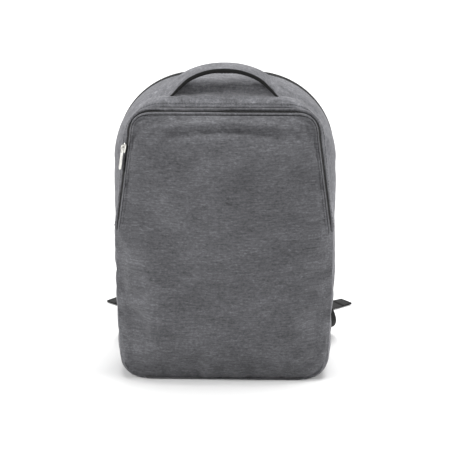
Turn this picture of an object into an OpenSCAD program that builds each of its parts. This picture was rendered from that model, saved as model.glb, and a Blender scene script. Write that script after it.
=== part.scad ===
// Laptop backpack: heather fabric shell in two halves on a long zip, a front pocket with its own
// flap, padded shoulder straps with ladder-lock adjusters, and a carry handle on the top.
// Millimetres. +Z up, the front faces -Y, and the origin is the middle of the base on the ground.

/* [Body] */
// Width across the main zip
body_w = 300; // [280:2:320]
// Height of the crest that the main zip runs over
body_h = 420; // [405:1:440]
// Thickness of the padded fabric walls
wall_t = 3; // [2:0.5:4]
// Thickness of the padded back panel
back_pad_t = 12; // [8:1:14]

/* [Openings] */
// Height above the ground at which both ends of the main zip stop
main_zip_z = 120; // [110:1:130]
// Height above the ground at which both ends of the pocket zip stop
pocket_zip_z = 220; // [205:1:235]
// Gap between pieces of different bodies
body_gap = 0.6; // [0.4:0.1:1]

/* [Handle] */
// Width of the handle in the middle
handle_w = 24; // [20:1:28]
// Rise of the handle's middle over its hinges
handle_rise = 20; // [16:1:24]

/* [Shoulder straps] */
// Thickness of the padded straps
strap_t = 12; // [8:1:12]
// Width of the black binding on a strap's edge
binding_w = 10; // [6:1:12]
// Width of the webbing
webbing_w = 25; // [20:1:25]
// Thickness of the webbing
webbing_t = 1.6; // [1.2:0.1:2]

/* [Hidden] */
$fn = 32;

HEATHER = [0.42, 0.42, 0.44];
HEATHER_DARK = [0.36, 0.36, 0.38];
BLACK = [0.10, 0.10, 0.10];
BLACK_PLASTIC = [0.14, 0.14, 0.14];
METAL = [0.72, 0.71, 0.68];
BOARD = [0.25, 0.25, 0.26];

half_gap = body_gap / 2;
hw = body_w / 2;
base_r = 28;             // round of the bottom corners
foot_taper = 4;          // how much narrower each side is at the base
back_y = 70;             // outer face of the back panel
back_in_y = back_y - back_pad_t;
arc_steps = 8;           // steps of an upper corner
foot_steps = 5;          // steps of a bottom corner
crown = 18;              // how far the front panel bulges

// Where things stand from front to back. A station is
// [y, half width, top, corner reach in x, corner reach in z, corner power, inward lean of the sides].
S_FRONT = [-56, hw - 9, body_h - 44, 26, 26, 2.4, 0.14];
S_POCKET_F = [-54, hw - 7, body_h - 42, 29, 29, 2.3, 0.14];
S_POCKET_M = [-51, hw - 4.5, body_h - 39, 34, 34, 2.2, 0.14];
S_POCKET_R = [-48, hw - 2, body_h - 36, 40, 40, 2.2, 0.14];
S_SHOULDER = [-34, hw, body_h - 21, 86, 84, 2.2, 0.07];
S_CROWN = [-12, hw, body_h - 8, 104, 104, 2.1, 0];
S_MAIN_F = [18, hw, body_h - 0.6, 112, 110, 2, 0];
S_MAIN_MF = [23, hw, body_h, 112, 110, 2, 0];
S_MAIN_M = [26, hw, body_h, 112, 110, 2, 0];
S_MAIN_MR = [29, hw, body_h, 112, 110, 2, 0];
S_MAIN_R = [34, hw - 0.6, body_h - 1.4, 110, 109, 2, 0];
S_BACK_IN = [back_in_y, hw - 12, body_h - 20, 84, 96, 2.3, 0];
S_BACK = [back_y, hw - 18, body_h - 27, 62, 82, 2.5, 0];

function at_y(s, y) = [y, s[1], s[2], s[3], s[4], s[5], s[6]];
function mix(a, b, t) = a + (b - a) * t;

// ---- outlines -------------------------------------------------------------------------------

// Half width of a station's side wall at height z, under its upper corner.
function wall_x(s, z) =
    z < main_zip_z ? s[1] - foot_taper * (main_zip_z - z) / main_zip_z
                   : s[1] - s[6] * max(0, z - pocket_zip_z);

// Half width of a station's outline at any height, inset by t.
function half_width(s, z, t = 0) =
    let (zc = s[2] - s[4])
    z > zc ? wall_x(s, zc) - s[3] + (s[3] - t)
             * pow(max(0, 1 - pow(min(1, (z - zc) / (s[4] - t)), s[5])), 1 / s[5])
  : z < base_r ? wall_x(s, base_r) - base_r
             + sqrt(max(0, pow(base_r - t, 2) - pow(base_r - z, 2)))
  : wall_x(s, z) - t;

// One side of the upper arch, from z_low up to the middle of the top, as [x, z].
function arch_side(s, t, z_low) =
    let (zc = s[2] - s[4], xc = wall_x(s, zc))
    concat(
        [for (z = [z_low, mix(z_low, pocket_zip_z, 0.5), pocket_zip_z, mix(pocket_zip_z, zc, 0.5), zc])
            [wall_x(s, z) - t, z]],
        [for (i = [1:arc_steps])
            let (a = 90 * i / arc_steps)
            [xc - s[3] + (s[3] - t) * pow(max(0, cos(a)), 2 / s[5]), zc + (s[4] - t) * pow(sin(a), 2 / s[5])]]);

// The same side for an arch that starts at the pocket zip's ends.
function pocket_arch_side(s, t, z_low) =
    let (zc = s[2] - s[4], xc = wall_x(s, zc))
    concat(
        [for (k = [0, 0.33, 0.67, 1]) [wall_x(s, mix(z_low, zc, k)) - t, mix(z_low, zc, k)]],
        [for (i = [1:arc_steps])
            let (a = 90 * i / arc_steps)
            [xc - s[3] + (s[3] - t) * pow(max(0, cos(a)), 2 / s[5]), zc + (s[4] - t) * pow(sin(a), 2 / s[5])]]);

// Both sides of an outline: up the right, over the top, down the left.
function mirrored_pair(side) =
    concat(side, [for (i = [len(side) - 1:-1:0]) [-side[i][0], side[i][1]]]);

// One lower side with its bottom corner, from the corner's foot up to z_high.
function lower_side(s, t, z_high) =
    let (xb = wall_x(s, base_r))
    concat(
        [for (i = [0:foot_steps])
            let (a = 90 * i / foot_steps)
            [xb - base_r + (base_r - t) * sin(a), base_r - (base_r - t) * cos(a)]],
        [for (z = [mix(base_r, z_high, 0.5), z_high]) [wall_x(s, z) - t, z]]);

// ---- solids from rings ----------------------------------------------------------------------

// Closed solid through rings of points. Each ring has an even count and runs anticlockwise about
// the direction from the first ring to the last.
module loft(rings) {
    n = len(rings[0]);
    m = len(rings);
    points = [for (ring = rings) each ring];
    walls = [for (i = [0:m - 2]) for (j = [0:n - 1])
        let (a = i * n + j, b = i * n + (j + 1) % n, c = a + n, d = b + n)
        each [[a, c, d], [a, d, b]]];
    first = [for (k = [0:n / 2 - 2])
        each [[k, k + 1, n - 2 - k], [k, n - 2 - k, n - 1 - k]]];
    last = [for (f = first) let (o = (m - 1) * n) [f[2] + o, f[1] + o, f[0] + o]];
    polyhedron(points, concat(walls, first, last), convexity = 10);
}

// Fabric wall along an arch, across stations from front to back, between insets t0 and t1.
module arch_wall(stations, t0, t1, z_low) {
    outer = [for (s = stations) mirrored_pair(arch_side(s, t0, z_low))];
    inner = [for (s = stations) mirrored_pair(arch_side(s, t1, z_low))];
    wall_of(stations, outer, inner);
}

module pocket_arch_wall(stations, t0, t1, z_low) {
    outer = [for (s = stations) mirrored_pair(pocket_arch_side(s, t0, z_low))];
    inner = [for (s = stations) mirrored_pair(pocket_arch_side(s, t1, z_low))];
    wall_of(stations, outer, inner);
}

module lower_wall(stations, t0, t1, z_high) {
    outer = [for (s = stations) lower_side(s, t0, z_high)];
    inner = [for (s = stations) lower_side(s, t1, z_high)];
    wall_of(stations, outer, inner);
}

module wall_of(stations, outer, inner) {
    m = len(stations);
    loft([for (i = [0:len(outer[0]) - 1]) concat(
        [for (k = [0:m - 1]) [outer[k][i][0], stations[k][0], outer[k][i][1]]],
        [for (k = [m - 1:-1:0]) [inner[k][i][0], stations[k][0], inner[k][i][1]]])]);
}

// Outer face of the front panel: y at a share of the half width (-1 to 1) and a height.
function front_y(share, z) =
    S_FRONT[0] - crown * pow(1 - pow(abs(share), 2.6), 0.7)
    * min(1, pow(max(0, z) / 60, 0.6)) * min(1, pow(max(0, S_FRONT[2] - z) / 70, 0.6));

// Part of the front panel between two heights. With wings it runs on round both sides to the gusset,
// and an inset leaves room for the zip tape along its edge.
module front_part(z_low, z_high, rows, wings, inset = 0) {
    shares = [-1, -0.97, -0.9, -0.75, -0.5, -0.25, 0, 0.25, 0.5, 0.75, 0.9, 0.97, 1];
    n = len(shares) - 1;
    function edge(z, t) = half_width(S_FRONT, z, t + inset);
    function wing(z, t, side) = [side * half_width(S_POCKET_R, z, t), S_POCKET_R[0], z];
    loft([for (i = [0:rows])
        let (z = mix(z_low, z_high, i / rows))
        concat(
            wings ? [wing(z, 0, -1)] : [],
            [for (s = shares) [s * edge(z, 0), front_y(s, z), z]],
            wings ? [wing(z, 0, 1), wing(z, wall_t, 1)] : [],
            [for (k = [n:-1:0]) [shares[k] * edge(z, wall_t), front_y(shares[k], z) + wall_t, z]],
            wings ? [wing(z, wall_t, -1)] : [])]);
}

// ---- soft strips along a path ---------------------------------------------------------------

function unit(v) = v / norm(v);

// Catmull-Rom through a list of vectors, n steps a span.
function spline_point(a, b, c, d, t) =
    0.5 * (2 * b + (c - a) * t + (2 * a - 5 * b + 4 * c - d) * t * t + (3 * b - a - 3 * c + d) * t * t * t);
function spline(v, n) =
    let (m = len(v) - 1)
    concat([for (i = [0:m - 1]) for (k = [0:n - 1])
        spline_point(v[max(0, i - 1)], v[i], v[i + 1], v[min(m, i + 2)], k / n)], [v[m]]);

// Flat strip: path points and the direction of its width at each, as [x, y, z, wx, wy, wz].
module strip(route, steps, width, thickness, lift = 0) {
    line = spline(route, steps);
    m = len(line) - 1;
    function place(i) = [line[i][0], line[i][1], line[i][2]];
    loft([for (i = [0:m])
        let (t = unit(place(min(m, i + 1)) - place(max(0, i - 1))),
             w0 = [line[i][3], line[i][4], line[i][5]],
             w = unit(w0 - t * (w0 * t)),
             n = cross(t, w),
             h = (len(line[i]) > 6 ? line[i][6] : width) / 2,
             c = place(i) + n * lift)
        [c + w * h - n * thickness / 2, c + w * h + n * thickness / 2,
         c - w * h + n * thickness / 2, c - w * h - n * thickness / 2]]);
}

module on_side(side) {
    if (side > 0) children();
    else mirror([1, 0, 0]) children();
}

// ---- pack: back half, base and lower front --------------------------------------------------

pack_low = main_zip_z - half_gap;    // top of the fixed lower shell
flap_low = main_zip_z + half_gap;    // bottom of the main flap
pocket_low = pocket_zip_z - half_gap;
pocket_flap_low = pocket_zip_z + half_gap;

// One side of a back station's whole outline, from the base up to the end of its flat top.
function back_side(s) =
    let (zc = s[2] - s[4], xc = wall_x(s, zc))
    concat(
        [for (z = [wall_t, 8, 16]) [half_width(s, z), z]],
        [for (k = [0, 0.3, 0.6, 1]) let (z = mix(base_r, zc, k)) [wall_x(s, z), z]],
        [for (i = [1:arc_steps])
            let (a = 90 * i / arc_steps)
            [xc - s[3] + s[3] * pow(max(0, cos(a)), 2 / s[5]), zc + s[4] * pow(sin(a), 2 / s[5])]]);

module back_panel() {
    outer = back_side(S_BACK);
    inner = back_side(S_BACK_IN);
    color(HEATHER_DARK)
    loft([for (i = [0:len(outer) - 1])
        let (a = outer[i], b = inner[i])
        [[a[0], back_y, a[1]], [-a[0], back_y, a[1]], [-b[0], back_in_y, b[1]], [b[0], back_in_y, b[1]]]]);
}

module back_board() {
    margin = 14;
    board_t = 1.5;
    side = [for (z = [12, 28, 120, 280, 310, 335, 355, 370, S_BACK_IN[2] - margin])
        [half_width(S_BACK_IN, z) - margin, z]];
    color(BOARD)
    translate([0, back_in_y - 0.1, 0]) rotate([90, 0, 0]) linear_extrude(board_t)
        polygon(mirrored_pair(side));
}

module rear_gusset() {
    color(HEATHER) arch_wall([S_MAIN_R, at_y(S_MAIN_R, 44), S_BACK_IN], 0, wall_t, pack_low);
}

module main_zip_tape_rear() {
    color(BLACK) arch_wall([S_MAIN_MR, S_MAIN_R], 0.6, 2, pack_low);
}

module main_zip_coil_rear() {
    color(BLACK_PLASTIC) arch_wall([at_y(S_MAIN_M, S_MAIN_M[0] + half_gap), S_MAIN_MR], 0, 2.4, pack_low);
}

module lower_gusset(side) {
    color(HEATHER) on_side(side)
        lower_wall([S_POCKET_R, S_CROWN, S_MAIN_M, at_y(S_MAIN_R, 44), S_BACK_IN], 0, wall_t, pack_low);
}

module base_panel() {
    // the side walls' feet lean in where the panel narrows towards the back
    color(HEATHER_DARK) linear_extrude(wall_t)
        polygon(mirrored_pair([for (s = [S_FRONT, S_POCKET_R, S_CROWN, S_MAIN_R, at_y(S_MAIN_R, 44), S_BACK_IN])
            [wall_x(s, base_r) - base_r, s[0]]]));
}

module base_board() {
    color(BOARD) translate([-(hw - 46), -46, wall_t + 0.2]) cube([body_w - 92, 92, 4]);
}

module front_panel_lower() {
    color(HEATHER) front_part(wall_t + 0.1, pack_low, 9, true);
}

divider_y = -40;
divider_t = 2;

module divider_plate(z_low, z_high, steps) {
    inset = wall_t + 3;
    translate([0, divider_y + divider_t, 0]) rotate([90, 0, 0]) linear_extrude(divider_t)
        polygon(mirrored_pair([for (i = [0:steps])
            let (z = mix(z_low, z_high, i / steps)) [half_width(S_POCKET_R, z, inset), z]]));
}

module divider_lower() {
    color(BOARD) divider_plate(8, pack_low, 8);
}

sleeve_w = 244;
sleeve_y = 27;           // front face of the sleeve's padded front
sleeve_low = 42;
sleeve_high = 300;
sleeve_t = 5;

module sleeve_side(side) {
    translate([side * (sleeve_w / 2 - 2) - 2, sleeve_y + sleeve_t, sleeve_low])
        cube([4, back_in_y - 2 - sleeve_y - sleeve_t, sleeve_high - sleeve_low]);
}

module laptop_sleeve() {
    color(BOARD) union() {
        translate([-sleeve_w / 2, sleeve_y, sleeve_low]) cube([sleeve_w, sleeve_t, sleeve_high - sleeve_low]);
        translate([-sleeve_w / 2, sleeve_y, sleeve_low])
            cube([sleeve_w, back_in_y - 2 - sleeve_y, sleeve_t]);
        for (side = [-1, 1]) sleeve_side(side);
    }
}

module main_zip_end_tabs() {
    tab = [1.4, 18, 14];
    color(BLACK) for (side = [-1, 1])
        translate([side * (hw + 0.3 + tab[0] / 2), S_MAIN_M[0], main_zip_z - 2 - tab[2] / 2])
            cube(tab, center = true);
}

// ---- pack: strap yoke and lower webbing -----------------------------------------------------

strap_top_z = S_BACK[2] - 39;   // where a strap leaves the yoke
yoke_low = strap_top_z + half_gap;
yoke_high = S_BACK[2] - 2;
yoke_edge = 6;                  // thickness of the yoke at its top seam
window_rise = 23;               // how far the window runs up into the yoke
window_half = 39;               // half width of the window where the straps leave the yoke
yoke_half = 107;                // half width of the yoke there

// Outline of the window between the straps, wider and higher by grow.
module window_2d(grow) {
    polygon(mirrored_pair([for (k = [0:8])
        [(window_half + grow) * cos(90 * k / 8), yoke_low + (window_rise + grow) * sin(90 * k / 8)]]));
}

// Outline of the yoke, which follows the top of the back panel, smaller by shrink.
module yoke_2d(shrink) {
    top = yoke_high - shrink;
    polygon(mirrored_pair([for (k = [0:8])
        let (z = mix(yoke_low, top, sin(90 * k / 8)))
        [min(yoke_half - shrink - (z - yoke_low) * 0.15, half_width(S_BACK, z + shrink) - 3 - shrink), z]]));
}

// Slab on the back panel that thins towards the top seam.
module yoke_slab() {
    intersection() {
        translate([0, back_y + strap_t, 0]) rotate([90, 0, 0]) linear_extrude(strap_t) children();
        rotate([90, 0, 90]) linear_extrude(4 * hw, center = true)
            polygon([[back_y, yoke_low - 1], [back_y + strap_t, yoke_low - 1], [back_y + strap_t, yoke_low + 6],
                     [back_y + yoke_edge, yoke_high + 1], [back_y, yoke_high + 1]]);
    }
}

module strap_yoke() {
    color(HEATHER) yoke_slab() difference() {
        yoke_2d(binding_w / 2);
        window_2d(binding_w / 2);
    }
}

module strap_yoke_binding() {
    color(BLACK) yoke_slab() {
        difference() {
            window_2d(binding_w / 2 - 0.2);
            window_2d(-binding_w / 2);
        }
        difference() {
            yoke_2d(-binding_w / 2);
            yoke_2d(binding_w / 2 - 0.2);
            translate([-yoke_half / 2, yoke_low - 1]) square([yoke_half, 200]);
        }
    }
}

// A fabric wing sewn to the edge of the back panel, that holds the lower webbing.
module side_wing(side) {
    wing_t = 2.4;
    color(BLACK) on_side(side) loft([
        [[112, 70.4, 40], [112, 70.4 + wing_t, 40], [130, 76.5 + wing_t, 50], [130, 76.5, 50]],
        [[112, 70.4, 88], [112, 70.4 + wing_t, 88], [147, 82.2 + wing_t, 72], [147, 82.2, 72]]]);
}

// The lower webbing: from the wing down to the ground and in to the adjuster.
LOWER_ROUTE = [
    [141.5, 82, 57, 0.62, 0.22, 0.75],
    [147.5, 86, 47, 0.8, 0.1, 0.5],
    [152, 95, 31, 0.97, 0, 0.2],
    [151, 108, 14, 0.9, 0.4, 0.1],
    [142, 119, 4.5, 0.5, 0.85, 0],
    [125, 124, 1.5, 0.1, 1, 0],
    [108, 122, 1.5, 0, 1, 0],
    [95, 119, 2.5, 0, 1, 0],
    [85, 117, 6, 0.1, 1, 0]
];

module lower_webbing(side) {
    color(BLACK) on_side(side) strip(LOWER_ROUTE, 3, webbing_w, webbing_t);
}

// ---- main flap ------------------------------------------------------------------------------

module front_gusset() {
    color(HEATHER)
    arch_wall([S_POCKET_R, S_SHOULDER, S_CROWN, S_MAIN_F], 0, wall_t, flap_low);
}

module main_zip_tape_front() {
    color(BLACK) arch_wall([S_MAIN_F, S_MAIN_MF], 0.6, 2, flap_low);
}

module main_zip_coil_front() {
    color(BLACK_PLASTIC) arch_wall([S_MAIN_MF, at_y(S_MAIN_M, S_MAIN_M[0] - half_gap)], 0, 2.4, flap_low);
}

module front_panel_middle() {
    color(HEATHER) front_part(flap_low, pocket_low, 6, true);
}

module pocket_divider() {
    color(BOARD) divider_plate(flap_low, S_POCKET_R[2] - 10, 16);
}

module organiser_pocket() {
    size = [170, 5, 120];
    skin = 1.5;
    color(BLACK) translate([-size[0] / 2, divider_y - 0.1 - size[1], 150]) difference() {
        cube(size);
        translate([skin, skin, skin]) cube([size[0] - 2 * skin, size[1] - skin + 1, size[2]]);
    }
}

module pocket_zip_tape_rear() {
    tape = [at_y(mix(S_POCKET_M, S_POCKET_R, 0.45), -49.7), at_y(mix(S_POCKET_M, S_POCKET_R, 0.95), -48.2)];
    color(BLACK) pocket_arch_wall(tape, 0.4, 1.8, pocket_flap_low);
}

module pocket_zip_coil_rear() {
    coil = [at_y(mix(S_POCKET_M, S_POCKET_R, 0.12), -50.7), at_y(mix(S_POCKET_M, S_POCKET_R, 0.43), -49.75)];
    color(BLACK_PLASTIC) pocket_arch_wall(coil, 0, 2.2, pocket_flap_low);
}

// ---- pocket flap ----------------------------------------------------------------------------

module front_panel_upper() {
    tape_room = 2.2;
    color(HEATHER) front_part(pocket_flap_low, S_FRONT[2] - tape_room, 14, false, tape_room);
}

module pocket_zip_coil_front() {
    coil = [at_y(mix(S_POCKET_M, S_POCKET_F, 0.43), -52.25), at_y(mix(S_POCKET_M, S_POCKET_F, 0.12), -51.3)];
    color(BLACK_PLASTIC) pocket_arch_wall(coil, 0, 2.2, pocket_flap_low);
}

module pocket_zip_tape_front() {
    tape = [at_y(mix(S_POCKET_F, S_FRONT, 0.9), -55.8), at_y(mix(S_POCKET_M, S_POCKET_F, 0.45), -52.3)];
    color(BLACK) pocket_arch_wall(tape, 0.4, 1.8, pocket_flap_low);
}

// ---- handle ---------------------------------------------------------------------------------

handle_half = 62;                    // half length between the hinges
handle_y = -25;
hinge_lift = 10;                     // height of the hinges over the gusset
anchor_gap = 4.5;                    // between the handle's slanted end and its anchor
anchor_reach = 30;                   // how far an anchor runs down the gusset
anchor_t = 4;

// Height of the gusset's top at a place in front of the crown.
function shoulder_z(x, y) =
    let (s = y < S_SHOULDER[0]
             ? mix(S_POCKET_R, S_SHOULDER, (y - S_POCKET_R[0]) / (S_SHOULDER[0] - S_POCKET_R[0]))
             : mix(S_SHOULDER, S_CROWN, (y - S_SHOULDER[0]) / (S_CROWN[0] - S_SHOULDER[0])),
         zc = s[2] - s[4], out = max(0, x - wall_x(s, zc) + s[3]) / s[3])
    zc + s[4] * pow(1 - pow(out, s[5]), 1 / s[5]);

hinge_z = shoulder_z(handle_half, handle_y) + hinge_lift;

// Across the handle the middle lies flatter than the ends, which follow the gusset.
HANDLE_ROUTE = [for (x = [-1, -0.8, -0.5, 0, 0.5, 0.8, 1])
    let (rise = 1 - pow(abs(x), 2.2))
    [x * handle_half, handle_y, hinge_z + handle_rise * rise, 0, 1, mix(0.45, 0.2, rise), handle_w]];

// A layer of the handle. A strip along +X has its normal pointing up.
module handle_layer(low, high) {
    strip(HANDLE_ROUTE, 4, handle_w, high - low, (low + high) / 2);
}

module handle_cover() {
    color(HEATHER) handle_layer(1.4, 3.4);
}

module handle_core() {
    color(BOARD) handle_layer(-1.7, 1.1);
}

module handle_lining() {
    color(BLACK) handle_layer(-3.4, -2);
}

// The handle's sewn ends, which spread out down the gusset.
module handle_anchors() {
    steps = 8;
    color(HEATHER) for (side = [-1, 1]) on_side(side) loft([for (k = [0:steps])
        let (x = handle_half + anchor_gap + anchor_reach * k / steps,
             lift = 0.5 + (hinge_lift - anchor_t / 2) * pow(1 - k / steps, 2),
             depth = mix(handle_w / 2, handle_w / 2 + 9, sqrt(k / steps)),
             places = [for (o = [-1, 0, 1]) [x, handle_y + o * depth * 0.9]])
        concat(
            [for (q = places) [q[0], q[1], shoulder_z(q[0], q[1]) + lift + anchor_t]],
            [for (k = [2:-1:0]) let (q = places[k]) [q[0], q[1], shoulder_z(q[0], q[1]) + lift]])]);
}

// ---- shoulder straps ------------------------------------------------------------------------

// Strap rows from the top down: [height, inner edge, outer edge, middle y].
STRAP_ROWS = [
    [strap_top_z - half_gap, window_half, yoke_half, back_y + strap_t / 2 + 0.4],
    [318, 51.5, 114, 82],
    [285, 57, 119.5, 90],
    [243, 56.5, 122.5, 99],
    [208, 52, 122, 106],
    [174, 45, 119, 112],
    [139, 39, 115, 117],
    [106, 37, 109.5, 121],
    [78, 40, 105, 123],
    [54, 48, 101, 124],
    [38, 58, 96, 124],
    [28, 66, 90, 123.5]
];
STRAP_LINE = spline(STRAP_ROWS, 3);

// Band of a strap between two edges, each a share of the way from the inner edge plus an offset.
module strap_band(inner, outer) {
    m = len(STRAP_LINE) - 1;
    t = strap_t / 2;
    loft([for (i = [m:-1:0])
        let (row = STRAP_LINE[i], a = mix(row[1], row[2], inner[0]) + inner[1],
             b = mix(row[1], row[2], outer[0]) + outer[1])
        [[b, row[3] + t, row[0]], [a, row[3] + t, row[0]], [a, row[3] - t, row[0]], [b, row[3] - t, row[0]]]]);
}

module strap_pad(side) {
    color(HEATHER) on_side(side) strap_band([0, binding_w / 2 + 0.1], [1, -binding_w / 2 - 0.1]);
}

module strap_binding(side) {
    color(BLACK) on_side(side) {
        strap_band([0, -binding_w / 2], [0, binding_w / 2]);
        strap_band([1, -binding_w / 2], [1, binding_w / 2]);
    }
}

tab_x = 74;              // middle of the webbing on each strap
bar_y = 134.2;           // axis of the ladder lock's top bar
bar_z = 48;
bar_r = 2.2;

module strap_tab(side) {
    color(BLACK) on_side(side) translate([tab_x - webbing_w / 2, 0, 0]) {
        translate([0, bar_y - bar_r - 0.3 - 1.5, bar_z]) cube([webbing_w, 1.5, 34]);
        translate([0, bar_y, bar_z]) rotate([0, 90, 0]) difference() {
            cylinder(r = bar_r + 1.8, h = webbing_w);
            translate([0, 0, -1]) cylinder(r = bar_r + 0.3, h = webbing_w + 2);
        }
    }
}

// ---- ladder lock and its webbing ------------------------------------------------------------

lock_in = 26;            // inner width between the rails
rail = 4;
lock_low = 14;

module ladder_lock(side) {
    color(BLACK_PLASTIC) on_side(side) translate([tab_x, bar_y, 0]) union() {
        for (s = [-1, 1]) translate([s * (lock_in + rail) / 2 - rail / 2, -3, lock_low])
            cube([rail, 6, bar_z + 3 - lock_low]);
        translate([-lock_in / 2 - 1, 0, bar_z]) rotate([0, 90, 0]) cylinder(r = bar_r, h = lock_in + 2);
        for (z = [36, 26]) translate([-lock_in / 2 - 1, -1, z]) cube([lock_in + 2, 4, 4]);
        translate([-lock_in / 2 - 1, 0.4, lock_low]) cube([lock_in + 2, 2.6, 5]);
    }
}

module adjuster_webbing(side) {
    color(BLACK) on_side(side) translate([tab_x - webbing_w / 2, bar_y, 0]) {
        translate([0, -1 - 0.2 - webbing_t, lock_low + 1]) cube([webbing_w, webbing_t, 24]);
        translate([0, 3.2, lock_low + 4]) cube([webbing_w, webbing_t, 24]);
    }
}

TAIL_ROUTE = [
    [74, 139.4, 17, 1, 0, 0],
    [75, 143, 9, 1, -0.1, 0],
    [80, 153, 3.5, 0.9, -0.45, 0],
    [98, 172, 4, 0.75, -0.66, 0],
    [126, 199, 7, 0.7, -0.7, 0.05],
    [158, 227, 3.2, 0.66, -0.75, 0],
    [190, 254, 1.4, 0.66, -0.75, 0]
];

module webbing_tail(side) {
    color(BLACK) on_side(side) strip(TAIL_ROUTE, 3, webbing_w, webbing_t);
}

// ---- zip sliders and pullers ----------------------------------------------------------------

// A slider lies on the wall x = 0, faces +X, and its zip runs along Z through the origin.
slider_size = [2.4, 9, 13];
lug_x = 4.6;             // how far the lug's tunnel stands off the wall
tunnel_r = 1.5;

module slider() {
    difference() {
        union() {
            translate([0.8, -slider_size[1] / 2, -slider_size[2] / 2]) cube(slider_size);
            translate([slider_size[0], -1.6, -5]) cube([lug_x + 2 - slider_size[0], 3.2, 10]);
        }
        translate([lug_x, -3, 0]) rotate([-90, 0, 0]) cylinder(r = tunnel_r, h = 6);
    }
}

// Its puller hangs from a bar through the lug.
module puller() {
    translate([lug_x, -4.2, 0]) rotate([-90, 0, 0]) cylinder(r = 1, h = 8.4);
    for (s = [-1, 1]) translate([lug_x - 0.9, s * 3.4 - 0.8, -8]) cube([1.8, 1.6, 8]);
    translate([lug_x - 0.9, -4.2, -30]) cube([1.8, 8.4, 23]);
}

main_slider_z = main_zip_z + 18;
module at_main_slider() {
    translate([-hw, S_MAIN_M[0], main_slider_z]) mirror([1, 0, 0]) children();
}

// The pocket zip leans in as it rises, and its slider turns a little to the front.
pocket_slider_z = S_POCKET_M[2] - 51;
pocket_slider_x = wall_x(S_POCKET_M, pocket_slider_z);
pocket_slider_lift = 1.1;
pocket_lean = atan(S_POCKET_M[6]);
pocket_turn = 17;
module at_pocket_slider() {
    translate([-pocket_slider_x, S_POCKET_M[0], pocket_slider_z])
        rotate([0, pocket_lean, 0]) rotate([0, 0, pocket_turn])
            translate([-pocket_slider_lift, 0, 0]) mirror([1, 0, 0]) children();
}

module main_zip_slider() { color(BLACK_PLASTIC) at_main_slider() slider(); }
module main_zip_puller() { color(BLACK_PLASTIC) at_main_slider() puller(); }
module pocket_zip_slider() { color(METAL) at_pocket_slider() slider(); }
module pocket_zip_puller() { color(METAL) at_pocket_slider() puller(); }

// ---- what is drawn --------------------------------------------------------------------------

back_panel();
back_board();
rear_gusset();
main_zip_tape_rear();
main_zip_coil_rear();
lower_gusset(-1);  // lower_gusset_left
lower_gusset(1);  // lower_gusset_right
base_panel();
base_board();
front_panel_lower();
divider_lower();
laptop_sleeve();
main_zip_end_tabs();
strap_yoke();
strap_yoke_binding();
side_wing(-1);  // side_wing_left
side_wing(1);  // side_wing_right
lower_webbing(-1);  // lower_webbing_left
lower_webbing(1);  // lower_webbing_right
front_gusset();
main_zip_tape_front();
main_zip_coil_front();
front_panel_middle();
pocket_divider();
organiser_pocket();
pocket_zip_tape_rear();
pocket_zip_coil_rear();
handle_anchors();
front_panel_upper();
pocket_zip_tape_front();
pocket_zip_coil_front();
handle_cover();
handle_core();
handle_lining();
strap_pad(-1);  // strap_pad_left
strap_binding(-1);  // strap_binding_left
strap_tab(-1);  // strap_tab_left
strap_pad(1);  // strap_pad_right
strap_binding(1);  // strap_binding_right
strap_tab(1);  // strap_tab_right
ladder_lock(-1);  // ladder_lock_left
adjuster_webbing(-1);  // adjuster_webbing_left
webbing_tail(-1);  // webbing_tail_left
ladder_lock(1);  // ladder_lock_right
adjuster_webbing(1);  // adjuster_webbing_right
webbing_tail(1);  // webbing_tail_right
main_zip_slider();
main_zip_puller();
pocket_zip_slider();
pocket_zip_puller();
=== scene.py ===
"""Looks of a laptop backpack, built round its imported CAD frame.

Shapes are worked out in millimetres in the frame's axes, and become metres when a mesh is made.
"""

import math

import bmesh
import bpy
import numpy as np
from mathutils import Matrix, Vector


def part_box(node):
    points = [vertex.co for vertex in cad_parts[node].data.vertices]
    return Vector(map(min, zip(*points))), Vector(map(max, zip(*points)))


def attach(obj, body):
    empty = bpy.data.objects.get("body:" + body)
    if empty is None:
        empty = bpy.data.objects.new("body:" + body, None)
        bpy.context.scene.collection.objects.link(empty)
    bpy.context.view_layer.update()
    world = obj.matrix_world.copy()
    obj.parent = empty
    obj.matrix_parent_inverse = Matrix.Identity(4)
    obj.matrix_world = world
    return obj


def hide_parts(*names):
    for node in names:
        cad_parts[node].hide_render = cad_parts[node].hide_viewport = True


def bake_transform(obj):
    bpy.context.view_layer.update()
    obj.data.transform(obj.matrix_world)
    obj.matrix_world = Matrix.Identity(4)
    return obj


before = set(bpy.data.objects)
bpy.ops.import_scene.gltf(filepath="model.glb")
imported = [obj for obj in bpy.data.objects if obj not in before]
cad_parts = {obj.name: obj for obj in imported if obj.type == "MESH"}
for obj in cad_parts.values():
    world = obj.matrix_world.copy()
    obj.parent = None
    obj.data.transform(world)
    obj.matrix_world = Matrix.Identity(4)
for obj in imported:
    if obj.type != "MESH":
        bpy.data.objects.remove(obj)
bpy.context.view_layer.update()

MM = 0.001
X, Y, Z = 0, 1, 2
SIDES = ((-1, "left"), (1, "right"))
RNG = np.random.default_rng(11)


def low(node, axis):
    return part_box(node)[0][axis] / MM


def high(node, axis):
    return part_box(node)[1][axis] / MM


def span(node, axis):
    return low(node, axis), high(node, axis)


def centre_of(node, axis):
    return (low(node, axis) + high(node, axis)) / 2


# ---- sizes, from the CAD ---------------------------------------------------------------------

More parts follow.
